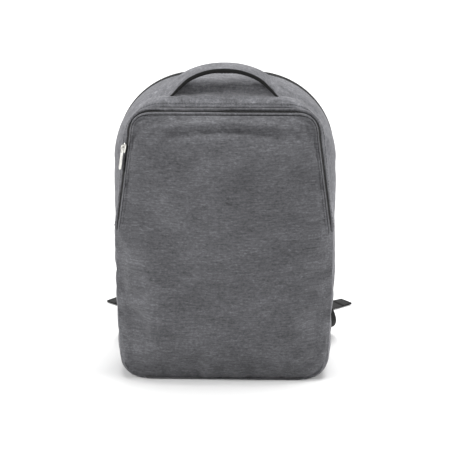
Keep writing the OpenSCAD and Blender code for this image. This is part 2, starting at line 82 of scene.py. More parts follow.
HALF_W = high("main_zip_coil_rear", X)
CREST = high("main_zip_coil_rear", Z)
BACK_Y = high("back_panel", Y)
BACK_IN_Y = low("back_panel", Y)
ZIP_END = low("main_zip_tape_rear", Z)
POCKET_END = low("front_panel_upper", Z)
STRAP_TOP = high("strap_pad_left", Z) + 0.3
TAB_X = centre_of("strap_tab_right", X)
WEBBING = high("strap_tab_right", X) - low("strap_tab_right", X)
FOOT_R = 28.0
FOOT_TAPER = 4.0
CROWN = 21.0
FABRIC = 2.6
WEB_THICK = 1.4
INSIDE = (0, 0, 200)

# y, half width, top, corner reach in x and in z, corner power, inward lean of the sides
STATIONS = np.array(
    [
        [-56, HALF_W - 9, CREST - 44, 26, 26, 2.4, 0.14],
        [-51, HALF_W - 4.5, CREST - 39, 34, 34, 2.2, 0.14],
        [-48, HALF_W - 2, CREST - 36, 40, 40, 2.2, 0.14],
        [-34, HALF_W, CREST - 21, 86, 84, 2.2, 0.07],
        [-12, HALF_W, CREST - 8, 104, 104, 2.1, 0],
        [18, HALF_W, CREST - 0.6, 112, 110, 2, 0],
        [26, HALF_W, CREST, 112, 110, 2, 0],
        [34, HALF_W - 0.6, CREST - 1.4, 110, 109, 2, 0],
        [BACK_IN_Y, HALF_W - 12, CREST - 20, 84, 96, 2.3, 0],
        [BACK_Y, HALF_W - 18, CREST - 27, 62, 82, 2.5, 0],
    ]
)
FRONT_Y, POCKET_Y, MAIN_Y = -56.0, -48.0, 26.0
SPLIT_Z = 200.0
SPLIT_U = 0.4


# ---- numbers ---------------------------------------------------------------------------------


def smoothstep(a, b, x):
    t = np.clip((np.asarray(x, float) - a) / (b - a), 0, 1)
    return t * t * (3 - 2 * t)


def mix(a, b, t):
    return a + (b - a) * t


def bump(x, centre, width):
    return np.exp(-(((np.asarray(x, float) - centre) / width) ** 2))


def rounded(wave, power):
    """A sine or cosine with its sign kept and its size raised to a power: a squarish oval's side."""
    return np.sign(wave) * np.abs(wave) ** power


def unit(v):
    v = np.asarray(v, float)
    return v / np.maximum(np.linalg.norm(v, axis=-1, keepdims=True), 1e-9)


def smooth_table(table, at):
    """Monotone cubic through a table's rows, whose first column is the place."""
    x, y = table[:, 0], table[:, 1:]
    step = np.diff(x)[:, None]
    slope = np.diff(y, axis=0) / step
    tangent = np.zeros_like(y)
    total = slope[1:] + slope[:-1]
    same = slope[1:] * slope[:-1] > 0
    tangent[1:-1] = np.where(same, 2 * slope[1:] * slope[:-1] / np.where(same, total, 1), 0)
    tangent[0], tangent[-1] = slope[0], slope[-1]
    i = min(max(int(np.searchsorted(x, at, side="right")) - 1, 0), len(x) - 2)
    h = step[i, 0]
    t = np.clip((at - x[i]) / h, 0, 1)
    a, b = (1 + 2 * t) * (1 - t) ** 2, t * (1 - t) ** 2
    c, d = t * t * (3 - 2 * t), t * t * (t - 1)
    return a * y[i] + b * h * tangent[i] + c * y[i + 1] + d * h * tangent[i + 1]


def catmull_rom(rows, steps):
    rows = np.asarray(rows, float)
    last = len(rows) - 1
    made = []
    for i in range(last):
        a, b = rows[max(0, i - 1)], rows[i]
        c, d = rows[i + 1], rows[min(last, i + 2)]
        for k in range(steps):
            t = k / steps
            linear, square = (c - a) * t, (2 * a - 5 * b + 4 * c - d) * t * t
            made.append(0.5 * (2 * b + linear + square + (3 * b - a - 3 * c + d) * t**3))
    return np.array(made + [rows[-1]])


def places(x, y, z):
    """Points from coordinates that are numbers or arrays."""
    return np.stack(np.broadcast_arrays(x, y, z), -1).astype(float)


def lengths_along(line):
    return np.concatenate([[0], np.cumsum(np.linalg.norm(np.diff(line, axis=0), axis=1))])


def resampled(line, spacing, *others):
    """A polyline at even spacing, with other values along it resampled the same way."""
    line = np.asarray(line, float)
    at = lengths_along(line)
    even = np.linspace(0, at[-1], max(2, int(round(at[-1] / spacing)) + 1))
    found = []
    for values in (line, *others):
        values = np.asarray(values, float)
        found.append(np.column_stack([np.interp(even, at, column) for column in values.T]))
    return found if others else found[0]


def distance_to(line, points):
    """Distance in a plane from points to a polyline."""
    a, b = line[:-1], line[1:]
    flat = points.reshape(-1, 2)
    best = np.full(len(flat), 1e9)
    for p, q in zip(a, b):
        d = q - p
        t = np.clip(((flat - p) @ d) / max(d @ d, 1e-9), 0, 1)
        best = np.minimum(best, np.linalg.norm(flat - p - t[:, None] * d, axis=1))
    return best.reshape(points.shape[:-1])


# ---- the body's outline ----------------------------------------------------------------------


def station(y):
    return smooth_table(STATIONS, y)


def wall_x(s, z):
    """Half width of a station's side wall at a height."""
    return np.where(
        z < ZIP_END,
        s[0] - FOOT_TAPER * (ZIP_END - z) / ZIP_END,
        s[0] - s[5] * np.maximum(0, z - POCKET_END),
    )


def half_width(y, z, inset=0.0):
    s = station(y)
    z = np.asarray(z, float)
    zc = s[1] - s[3]
    share = np.clip((z - zc) / (s[3] - inset), 0, 1)
    corner = wall_x(s, zc) - s[2] + (s[2] - inset) * (1 - share ** s[4]) ** (1 / s[4])
    drop = np.clip(FOOT_R - z, 0, FOOT_R - inset)
    foot = wall_x(s, FOOT_R) - FOOT_R + np.sqrt(np.maximum(0, (FOOT_R - inset) ** 2 - drop**2))
    return np.where(z > zc, corner, np.where(z < FOOT_R, foot, wall_x(s, z) - inset))


def half_outline(y, inset=0.0):
    """One side of the outline at a depth, from its foot up to the middle of the top, as x and z."""
    s = station(y)
    zc = s[1] - s[3]
    a = np.linspace(0, np.pi / 2, 30)
    xb = wall_x(s, FOOT_R) - FOOT_R
    foot = np.column_stack([xb + (FOOT_R - inset) * np.sin(a), FOOT_R - (FOOT_R - inset) * np.cos(a)])
    z = np.linspace(FOOT_R, zc, 60)[1:-1]
    side = np.column_stack([wall_x(s, z) - inset, z])
    a = np.linspace(0, np.pi / 2, 60)
    xc = wall_x(s, zc) - s[2]
    corner = np.column_stack(
        [xc + (s[2] - inset) * np.cos(a) ** (2 / s[4]), zc + (s[3] - inset) * np.sin(a) ** (2 / s[4])]
    )
    return np.vstack([foot, side, corner, [[0, s[1] - inset]]])


def outline_at(y, us, inset=0.0):
    """x and z on the outline at shares us: -1 the left foot, 0 the middle of the top, 1 the right."""
    line = half_outline(y, inset)
    d = lengths_along(line)
    cut = np.interp(SPLIT_Z, line[:, 1], d)
    share = np.where(d < cut, SPLIT_U * d / cut, SPLIT_U + (1 - SPLIT_U) * (d - cut) / (d[-1] - cut))
    t = 1 - np.abs(us)
    return np.column_stack([np.interp(t, share, line[:, 0]) * np.sign(us), np.interp(t, share, line[:, 1])])


# every millimetre of depth from the front to the far side of the back panel
DEPTHS = np.arange(FRONT_Y, 71.0, 1.0)


def body_grid(us, ys, inset=0.0):
    """Points on the body at shares us, and at depths ys, one row of depths for each share."""
    table = np.array([outline_at(y, us, inset) for y in DEPTHS])
    grid = np.zeros(ys.shape + (3,))
    grid[..., Y] = ys
    for i in range(len(us)):
        grid[i, :, X] = np.interp(ys[i], DEPTHS, table[:, i, 0])
        grid[i, :, Z] = np.interp(ys[i], DEPTHS, table[:, i, 1])
    return grid


def share_at(y, z):
    """Share u on the right side at which the outline at a depth has a height."""
    us = np.linspace(1, 0, 800)
    return float(np.interp(z, outline_at(y, us)[:, 1], us))


def across(us, y0, y1, count):
    y0, y1 = np.broadcast_to(y0, us.shape), np.broadcast_to(y1, us.shape)
    return y0[:, None] + (y1 - y0)[:, None] * np.linspace(0, 1, count)


# ---- meshes ----------------------------------------------------------------------------------


def grid_faces(rows, cols, first=0, flip=False, ring=False):
    i, j = np.meshgrid(np.arange(rows - 1), np.arange(cols if ring else cols - 1), indexing="ij")
    k = (j + 1) % cols
    quads = np.stack([i * cols + j, i * cols + k, (i + 1) * cols + k, (i + 1) * cols + j], -1)
    quads = quads.reshape(-1, 4) + first
    return quads[:, ::-1] if flip else quads


def grid_normals(grid):
    down = np.gradient(grid, axis=0)
    right = np.gradient(grid, axis=1)
    return unit(np.cross(right, down))


def facing(grid, centre=INSIDE):
    """The grid with its faces turned away from a centre."""
    out = np.sum(grid_normals(grid) * (grid - np.asarray(centre, float)), axis=-1)
    return grid if out.mean() > 0 else grid[:, ::-1]


def add_mesh(name, points, faces, materials, cloth=None, face_material=None, subdivide=0, sharp=0):
    """A smooth mesh from millimetre points. cloth is each point's place on its flat fabric."""
    mesh = bpy.data.meshes.new(name)
    mesh.from_pydata((np.asarray(points) * MM).tolist(), [], [list(map(int, f)) for f in faces])
    for material in materials:
        mesh.materials.append(material)
    if face_material is not None:
        mesh.polygons.foreach_set("material_index", np.asarray(face_material, np.int32))
    if cloth is None:
        cloth = np.asarray(points)
    attribute = mesh.attributes.new("cloth", "FLOAT_VECTOR", "POINT")
    cloth = np.asarray(cloth, float) * MM
    if cloth.shape[1] == 2:
        cloth = np.column_stack([cloth, np.full(len(cloth), RNG.uniform(0, 9))])
    attribute.data.foreach_set("vector", cloth.astype(np.float32).ravel())
    work = bmesh.new()
    work.from_mesh(mesh)
    bmesh.ops.recalc_face_normals(work, faces=work.faces)
    for edge in work.edges:
        if sharp and len(edge.link_faces) == 2 and edge.calc_face_angle(0) > sharp:
            edge.smooth = False
    work.to_mesh(mesh)
    work.free()
    mesh.polygons.foreach_set("use_smooth", [True] * len(mesh.polygons))
    piece = bpy.data.objects.new(name, mesh)
    bpy.context.scene.collection.objects.link(piece)
    if subdivide:
        modifier = piece.modifiers.new("Subdivision", "SUBSURF")
        modifier.levels = subdivide
        modifier.render_levels = subdivide
    return piece


RIM_ANGLE = 1.0


def closed_pad(name, outer, inner, materials, cloth, subdivide=0):
    """Two matching grids of points joined round their border. The inner one takes material 1."""
    rows, cols = outer.shape[:2]
    n = rows * cols
    points = np.concatenate([outer.reshape(-1, 3), inner.reshape(-1, 3)])
    index = np.arange(n).reshape(rows, cols)
    loop = np.concatenate([index[0, :-1], index[:-1, -1], index[-1, :0:-1], index[:0:-1, 0]])
    after = np.roll(loop, -1)
    rim = np.stack([after, loop, loop + n, after + n], -1)
    front, back = grid_faces(rows, cols), grid_faces(rows, cols, n, True)
    faces = np.concatenate([front, back, rim])
    kinds = np.zeros(len(faces), int)
    if len(materials) > 1:
        kinds[len(front) : len(front) + len(back)] = 1
    cloth = np.concatenate([cloth.reshape(n, -1)] * 2)
    return add_mesh(name, points, faces, materials, cloth, kinds, subdivide, 0 if subdivide else RIM_ANGLE)


def shell(name, grid, thickness, materials, cloth, subdivide=0, centre=INSIDE):
    """Closed sheet of fabric under a grid of outer points."""
    turned = facing(grid, centre)
    if turned is not grid:
        cloth = cloth[:, ::-1]
    inner = turned - grid_normals(turned) * thickness
    return closed_pad(name, turned, inner, materials, cloth, subdivide)


def loft(name, rings, materials, cloth=None, sharp=0.0, face_material=None, subdivide=0):
    """Closed solid through rings of points, capped at both ends."""
    n, k = rings.shape[:2]
    faces = [list(f) for f in grid_faces(n, k, ring=True)]
    faces.append(list(range(k)))
    faces.append(list(range((n - 1) * k, n * k)))
    if cloth is None:
        along = np.repeat(lengths_along(rings.mean(axis=1)), k)
        cloth = np.column_stack([along, np.tile(lengths_along(rings[0]), n)])
    return add_mesh(name, rings.reshape(-1, 3), faces, materials, cloth, face_material, subdivide, sharp)


def path_frame(path, width_direction):
    """Side and up directions along a path, with the side as near to a given one as can be."""
    tangent = unit(np.gradient(path, axis=0))
    wanted = np.broadcast_to(np.asarray(width_direction, float), path.shape)
    side = unit(wanted - tangent * np.sum(wanted * tangent, axis=1, keepdims=True))
    return side, np.cross(tangent, side)


def band_section(width, thickness, dome=0.15):
    """Section of a woven band: round edges and slightly domed faces, as side and up offsets."""
    half, t = width / 2, thickness / 2
    across_top = np.linspace(half - t, -half + t, 7)
    top = [[x, t + dome * (1 - (x / half) ** 2)] for x in across_top]
    left = [[-half + t - t * math.sin(a), t * math.cos(a)] for a in (0.8, 1.57, 2.35)]
    return np.array(top + left + [[-x, -y] for x, y in top] + [[-x, -y] for x, y in left])


def strip(name, path, width_direction, width, thickness, material):
    """A flat woven band along a path. The weave runs along it."""
    side, up = path_frame(path, width_direction)
    section = band_section(width, thickness)
    rings = path[:, None] + side[:, None] * section[None, :, :1] + up[:, None] * section[None, :, 1:]
    k = len(section)
    along = np.repeat(lengths_along(path), k)
    cloth = np.column_stack([along, np.tile(section[:, 0], len(path))])
    return loft(name, rings, [material], cloth)


def circle(sides):
    return np.linspace(0, 2 * np.pi, sides, endpoint=False)


def tube(name, path, radius, material, sides=8, width_direction=(0, 0, 1)):
    """A round cord along a path."""
    side, up = path_frame(path, width_direction)
    a = circle(sides)[:, None]
    rings = path[:, None] + radius * (side[:, None] * np.cos(a) + up[:, None] * np.sin(a))
    return loft(name, rings, [material])


def bead_template():
    """A short rod along X from -0.5 to 0.5 with narrowed ends, radius 0.5."""
    sides, ends = 6, 0.6
    a = circle(sides)
    rings = []
    for x, r in ((-0.5, ends), (-0.38, 1.0), (0.38, 1.0), (0.5, ends)):
        rings.append(places(x, 0.5 * r * np.cos(a), 0.5 * r * np.sin(a)))
    points = np.concatenate(rings)
    faces = [list(f) for f in grid_faces(4, sides, ring=True)]
    faces += [list(range(sides)), list(range(3 * sides, 4 * sides))]
    return points, faces


BEAD = bead_template()


def scatter(name, spots, axes, material):
    """One mesh of many beads. axes holds each bead's three scaled axes."""
    base, base_faces = BEAD
    points = spots[:, None] + np.einsum("vk,nkc->nvc", base, axes)
    size = len(base)
    faces = [[v + i * size for v in f] for i in range(len(spots)) for f in base_faces]
    return add_mesh(name, points.reshape(-1, 3), faces, [material])


def stitches(name, line, normal, material, pitch=4.0, length=2.8, width=0.7):
    """A row of sewn thread along a line on a surface."""
    path, up = resampled(line, pitch, np.broadcast_to(np.asarray(normal, float), np.shape(line)))
    tangent = unit(np.gradient(path, axis=0))
    up = unit(up)
    side = np.cross(up, tangent)
    axes = np.stack([tangent * length, side * width, up * width], axis=1)
    return scatter(name, path + up * width * 0.25, axes, material)


def joined(name, pieces):
    """Several meshes as one piece, which keeps their materials."""
    mesh = pieces[0].data
    for piece in pieces[1:]:
        for material in piece.data.materials:
            if material.name not in mesh.materials:
                mesh.materials.append(material)
    work = bmesh.new()
    work.from_mesh(mesh)
    for piece in pieces[1:]:
        before = len(work.faces)
        work.from_mesh(piece.data)
        work.faces.ensure_lookup_table()
        slots = [mesh.materials.find(m.name) for m in piece.data.materials]
        for face in work.faces[before:]:
            face.material_index = slots[face.material_index]
    work.to_mesh(mesh)
    work.free()
    for piece in pieces[1:]:
        bpy.data.objects.remove(piece)
    pieces[0].name = name
    mesh.name = name
    return pieces[0]


def solid(name, outline, depth, place, material, bevel=0.5, holes=()):
    """A moulded part: an outline in a plane, thickened, with rounded edges.
    outline holds (a, b) points and place maps arrays a, b, c to millimetre points."""
    work = bmesh.new()
    loops = [outline, *holes]
    edges = []
    for loop in loops:
        corners = [work.verts.new((a, b, 0)) for a, b in loop]
        edges += [work.edges.new((corners[i - 1], corners[i])) for i in range(len(corners))]
    bmesh.ops.triangle_fill(work, use_beauty=True, edges=edges)
    bmesh.ops.dissolve_limit(work, angle_limit=0.01, verts=work.verts, edges=work.edges)
    made = bmesh.ops.extrude_face_region(work, geom=work.faces[:])
    for v in made["geom"]:
        if isinstance(v, bmesh.types.BMVert):
            v.co.z = depth
    bmesh.ops.recalc_face_normals(work, faces=work.faces)
    edges = [e for e in work.edges if len(e.link_faces) == 2 and e.calc_face_angle(0) > 0.6]
    bmesh.ops.bevel(
        work, geom=edges, offset=bevel, segments=2, profile=0.6, affect="EDGES", clamp_overlap=True
    )
    bmesh.ops.triangulate(work, faces=[f for f in work.faces if len(f.verts) > 4])
    points = np.array([v.co for v in work.verts])
    faces = [[v.index for v in f.verts] for f in work.faces]
    work.free()
    return add_mesh(name, place(points[:, 0], points[:, 1], points[:, 2]), faces, [material], sharp=0.7)


def mirrored(half):
    """An outline from its left half."""
    return half + [(-a, b) for a, b in reversed(half)]


CLOTH = {
    "quality": 4,
    "mass": 0.1,
    "tension_stiffness": 20,
    "compression_stiffness": 20,
    "shear_stiffness": 8,
    "bending_stiffness": 0.6,
}


def billow(grid, pinned, pressure, surplus, cap, frames=14):
    """Where cloth with a held border goes under pressure from inside. No point moves more than cap."""
    rows, cols = grid.shape[:2]
    mesh = bpy.data.meshes.new("cloth_work")
    mesh.from_pydata((grid.reshape(-1, 3) * MM).tolist(), [], grid_faces(rows, cols).tolist())
    work = bpy.data.objects.new("cloth_work", mesh)
    bpy.context.scene.collection.objects.link(work)
    group = work.vertex_groups.new(name="held")
    for i, held in enumerate(pinned.reshape(-1)):
        group.add([i], float(held), "REPLACE")
    modifier = work.modifiers.new("Cloth", "CLOTH")
    settings = modifier.settings
    for key, value in CLOTH.items():
        setattr(settings, key, value)
    settings.vertex_group_mass = "held"
    settings.use_pressure = True
    settings.uniform_pressure_force = pressure
    settings.shrink_min = -surplus
    settings.effector_weights.gravity = 0
    modifier.point_cache.frame_start = 1
    modifier.point_cache.frame_end = frames
    scene = bpy.context.scene
    for number in range(1, frames + 1):
        scene.frame_set(number)
    shown = work.evaluated_get(bpy.context.evaluated_depsgraph_get())
    found = np.zeros(rows * cols * 3, np.float32)
    shown.data.vertices.foreach_get("co", found)
    bpy.data.objects.remove(work)
    scene.frame_set(1)
    moved = found.reshape(rows, cols, 3).astype(float) / MM - grid
    size = np.linalg.norm(moved, axis=-1, keepdims=True)
    return grid + moved * np.minimum(1, cap / np.maximum(size, 1e-9))


def border_pins(grid):
    held = np.ones(grid.shape[:2])
    held[1:-1, 1:-1] = 0
    return held


# ---- materials -------------------------------------------------------------------------------


class Surface:
    """A material under construction, whose patterns follow the fabric's own coordinates."""

    def __init__(self, name, roughness, specular=0.3, metallic=0.0):
        self.material = bpy.data.materials.new(name)
        self.material.use_nodes = True
        self.tree = self.material.node_tree
        self.shader = self.tree.nodes["Principled BSDF"]
        self.shader.inputs["Roughness"].default_value = roughness
        self.shader.inputs["Specular IOR Level"].default_value = specular
        self.shader.inputs["Metallic"].default_value = metallic
        self.cloth = self.node("ShaderNodeAttribute", attribute_name="cloth").outputs["Vector"]

    def node(self, kind, **settings):
        made = self.tree.nodes.new(kind)
        for key, value in settings.items():
            setattr(made, key, value)
        return made

    def scaled(self, scale):
        made = self.node("ShaderNodeMapping")
        made.inputs["Scale"].default_value = scale
        self.tree.links.new(self.cloth, made.inputs["Vector"])
        return made.outputs["Vector"]

    def noise(self, scale, detail=2.0, rough=0.5, warp=0.0):
        made = self.node("ShaderNodeTexNoise")
        made.inputs["Scale"].default_value = 1.0
        made.inputs["Detail"].default_value = detail
        made.inputs["Roughness"].default_value = rough
        made.inputs["Distortion"].default_value = warp
        self.tree.links.new(self.scaled(scale), made.inputs["Vector"])
        return made.outputs["Fac"]

    def math(self, operation, a, b=None):
        made = self.node("ShaderNodeMath", operation=operation)
        for socket, value in zip(made.inputs, (a, b)):
            if value is None:
                continue
            if isinstance(value, (int, float)):
                socket.default_value = value
            else:
                self.tree.links.new(value, socket)
        return made.outputs["Value"]

    def part(self, index):
        made = self.node("ShaderNodeSeparateXYZ")
        self.tree.links.new(self.cloth, made.inputs["Vector"])
        return made.outputs[index]

    def ribs(self, value, pitch):
        """0 to 1 wave over a length in metres."""
        wave = self.math("SINE", self.math("MULTIPLY", value, 2 * math.pi / pitch))
        return self.math("ADD", self.math("MULTIPLY", wave, 0.5), 0.5)

    def weighted(self, *terms):
        total = None
        for value, weight in terms:
            term = self.math("MULTIPLY", value, weight)
            total = term if total is None else self.math("ADD", total, term)
        return total

    def colours(self, value, stops):
        ramp = self.node("ShaderNodeValToRGB")
        elements = ramp.color_ramp.elements
        while len(elements) < len(stops):
            elements.new(0.5)
        for element, (place, colour) in zip(elements, stops):
            element.position = place
            element.color = (*colour, 1)
        self.tree.links.new(value, ramp.inputs["Fac"])
        self.tree.links.new(ramp.outputs["Color"], self.shader.inputs["Base Color"])

    def shades(self, value, tone, *stops, cool=0.0):
        """Greys round a tone, each at its place and as a share of the tone."""
        self.colours(value, [(place, grey(tone * share, cool)) for place, share in stops])

    def height(self, value, strength, distance):
        made = self.node("ShaderNodeBump")
        made.inputs["Strength"].default_value = strength
        made.inputs["Distance"].default_value = distance
        self.tree.links.new(value, made.inputs["Height"])
        self.tree.links.new(made.outputs["Normal"], self.shader.inputs["Normal"])

    def rough(self, value, lowest, highest):
        made = self.node("ShaderNodeMapRange")
        made.inputs["To Min"].default_value = lowest
        made.inputs["To Max"].default_value = highest
        self.tree.links.new(value, made.inputs["Value"])
        self.tree.links.new(made.outputs["Result"], self.shader.inputs["Roughness"])

    def sheen(self, weight, roughness=0.5):
        self.shader.inputs["Sheen Weight"].default_value = weight
        self.shader.inputs["Sheen Roughness"].default_value = roughness


def grey(value, cool=0.0):
    return (value * (1 - cool * 0.3), value * (1 - cool * 0.25), value * (1 + cool))


def heather(name, tone):
    """Melange fabric: long pale and dark fibres along the weft, over a plain weave."""
    s = Surface(name, 0.9, 0.2)
    s.sheen(0.12)
    fibres = s.noise((95, 430, 60), 3.0, 0.62, 0.3)
    yarns = s.noise((420, 1300, 100), 2.0, 0.6)
    slubs = s.noise((46, 640, 50), 1.0, 0.5)
    flecks = s.noise((260, 300, 90), 2.0, 0.7)
    clouds = s.noise((16, 30, 5), 3.0, 0.6)
    value = s.weighted((fibres, 0.24), (yarns, 0.24), (slubs, 0.1), (flecks, 0.22), (clouds, 0.2))
    s.shades(value, tone, (0.37, 0.4), (0.46, 0.8), (0.53, 1.1), (0.62, 1.8), cool=0.06)
    warp = s.ribs(s.part(0), 0.0016)
    weft = s.ribs(s.part(1), 0.0013)
    weave = s.math("MULTIPLY", warp, weft)
    s.height(s.weighted((weave, 0.5), (yarns, 0.9), (fibres, 0.5)), 0.45, 0.0007)
    return s.material


def black_twill(name, tone, pitch):
    """Black binding tape: a fine diagonal twill."""
    s = Surface(name, 0.85, 0.15)
    s.sheen(0.02)
    diagonal = s.math("ADD", s.part(0), s.part(1))
    ribs = s.ribs(diagonal, pitch)
    fuzz = s.noise((900, 900, 400), 2.0, 0.6)
    value = s.weighted((ribs, 0.5), (fuzz, 0.5))
    s.shades(value, tone, (0.25, 0.6), (0.75, 1.5))
    s.height(value, 0.5, 0.0005)
    return s.material


def webbing_weave(name, tone):
    """Nylon webbing: ribs across the band, broken into a herringbone by its lengthwise yarns."""
    s = Surface(name, 0.68, 0.25)
    s.sheen(0.02)
    zigzag = s.math("MULTIPLY", s.ribs(s.part(1), 0.0052), 0.0016)
    ribs = s.ribs(s.math("ADD", s.part(0), zigzag), 0.0021)
    yarns = s.ribs(s.part(1), 0.0013)
    fuzz = s.noise((500, 900, 300), 2.0, 0.6)
    value = s.weighted((ribs, 0.5), (yarns, 0.25), (fuzz, 0.25))
    s.shades(value, tone, (0.2, 0.5), (0.8, 1.7))
    s.height(value, 0.6, 0.0006)
    return s.material


def tape_knit(name, tone):
    s = Surface(name, 0.8, 0.25)
    rows = s.ribs(s.part(0), 0.0011)
    cords = s.ribs(s.part(1), 0.0019)
    fuzz = s.noise((700, 700, 300), 2.0, 0.6)
    value = s.weighted((rows, 0.4), (cords, 0.3), (fuzz, 0.3))
    s.shades(value, tone, (0.2, 0.6), (0.8, 1.6))
    s.height(value, 0.5, 0.0004)
    return s.material


def moulded(name, tone, roughness):
    """Moulded plastic with a fine spark texture and scuffed patches."""
    s = Surface(name, roughness, 0.5)
    grain = s.noise((1500, 1500, 1500), 2.0, 0.6)
    scuffs = s.noise((120, 120, 120), 3.0, 0.6)
    s.shades(s.weighted((grain, 0.4), (scuffs, 0.6)), tone, (0.35, 0.8), (0.68, 1.6))
    s.rough(scuffs, roughness - 0.1, roughness + 0.18)
    s.height(grain, 0.25, 0.0002)
    return s.material


def plated_metal(name):
    s = Surface(name, 0.3, 0.5, 1.0)
    brushed = s.noise((300, 300, 2600), 2.0, 0.6)
    spots = s.noise((260, 260, 260), 3.0, 0.6)
    value = s.weighted((brushed, 0.4), (spots, 0.6))
    s.colours(value, [(0.3, (0.42, 0.41, 0.38)), (0.6, (0.8, 0.79, 0.75))])
    s.rough(spots, 0.22, 0.42)
    s.height(brushed, 0.12, 0.0002)
    return s.material


def lining_cloth(name, tone):
    """Plain polyester lining with a ripstop grid."""
    s = Surface(name, 0.7, 0.3)
    s.sheen(0.1)
    fine = s.math("MULTIPLY", s.ribs(s.part(0), 0.0009), s.ribs(s.part(1), 0.0009))
    grid = s.math("MAXIMUM", s.ribs(s.part(0), 0.006), s.ribs(s.part(1), 0.006))
    lines = s.math("POWER", grid, 12.0)
    fuzz = s.noise((200, 200, 90), 2.0, 0.6)
    value = s.weighted((fine, 0.3), (lines, 0.3), (fuzz, 0.4))
    s.shades(value, tone, (0.15, 0.7), (0.85, 1.5))
    s.height(value, 0.4, 0.0004)
    return s.material


def pressed_board(name, tone):
    """Stiff board with pores and a paper-like grain."""
    s = Surface(name, 0.75, 0.3)
    pores = s.noise((700, 700, 700), 3.0, 0.65)
    grain = s.noise((40, 160, 90), 3.0, 0.6)
    s.shades(s.weighted((pores, 0.5), (grain, 0.5)), tone, (0.35, 0.7), (0.65, 1.3))
    s.height(pores, 0.4, 0.0005)
    return s.material


def air_mesh(name, tone):
    """Open mesh of an inner pocket: dark holes in a hexagon-like net."""
    s = Surface(name, 0.7, 0.3)
    made = s.node("ShaderNodeTexVoronoi", feature="DISTANCE_TO_EDGE")
    made.inputs["Scale"].default_value = 1.0
    made.inputs["Randomness"].default_value = 0.25
    s.tree.links.new(s.scaled((380, 380, 1)), made.inputs["Vector"])
    holes = made.outputs["Distance"]
    s.shades(holes, tone, (0.08, 1.8), (0.2, 0.4))
    s.height(s.math("MULTIPLY", holes, -1.0), 0.6, 0.001)
    return s.material


def floor_paper(name):
    s = Surface(name, 0.9, 0.1)
    mottle = s.noise((3, 3, 3), 2.0, 0.5)
    s.shades(mottle, 1.0, (0.3, 0.66), (0.7, 0.68))
    return s.material


# One heather fabric in several tones: the front's darker copy is painted shade for a face turned from the
# light, and the gusset's and handle's lighter copy is painted light on faces that turn up and to the sides.
HEATHER_FRONT_SHADED = heather("heather_front", 0.082)
HEATHER_TOP_LIT = heather("heather_gusset_painted_light", 0.118)
HEATHER_BACK = heather("heather_back", 0.13)
# The back panel's darker heather is painted shade from the straps over it; the base and the laptop sleeve
# use it too.
HEATHER_PANEL_SHADED = heather("heather_panel_painted_shade", 0.095)
BINDING = black_twill("binding_twill", 0.009, 0.0011)
BLACK_WEBBING = webbing_weave("black_webbing", 0.010)
TAPE = tape_knit("zip_tape_knit", 0.012)
COIL = moulded("zip_coil_nylon", 0.016, 0.4)
PLASTIC = moulded("black_plastic", 0.010, 0.42)
# The lock's front bars are the black plastic made lighter: a painted highlight.
LOCK_BARS_HIGHLIT = moulded("lock_bar_painted_highlight", 0.03, 0.38)
METAL = plated_metal("zip_metal")
LINING = lining_cloth("lining_cloth", 0.03)
MESH_CLOTH = air_mesh("air_mesh", 0.02)
BOARD = pressed_board("pressed_board", 0.05)
THREAD = black_twill("thread", 0.03, 0.0007)
GREY_THREAD = heather("grey_thread", 0.07)
# material, pitch, length and width of the fine stitches on webbing
WEB_STITCH = (THREAD, 2.4, 1.8, 0.5)


def settle(piece, body=None, bend=None, replaces=()):
    """Puts a piece on its body's empty, or else bakes its place into its mesh, and hides the CAD parts it
    stands for.
    """
    if bend:
        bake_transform(piece)
    else:
        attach(piece, body)
    if replaces:
        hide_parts(*replaces)
    return piece


# ---- gussets, base and zips ------------------------------------------------------------------

U_ZIP = share_at(MAIN_Y, ZIP_END)
U_POCKET = share_at(POCKET_Y, POCKET_END)


def soft_waves(a, b, size):
    """Slow uneven waves of a sewn sheet, over its two coordinates in millimetres."""
    made = np.sin(a / 47 + 1.3 * np.sin(b / 61)) * np.sin(b / 39 + 0.7)
    made = made + 0.6 * np.sin(a / 23 + b / 31 + 2.1) + 0.4 * np.sin(a / 71 - b / 17 + 0.4)
    return size * made / 2


# half the length of the body's outline, and the heights between which a gusset's edge
# moves from the closed seam below the main zip to the zip's tape
ARCH_LENGTH = 540.0
SEAM_OPENS = (103, 111)


def gusset_cloth(us, ys):
    return np.stack([np.repeat(us[:, None] * ARCH_LENGTH, ys.shape[1], 1), ys], -1)


def edge_fade(count, reach):
    """0 at both edges of a sheet and 1 in its middle, over a share of its width."""
    share = np.linspace(0, 1, count)
    return smoothstep(0, reach, share) * smoothstep(1, 1 - reach, share)


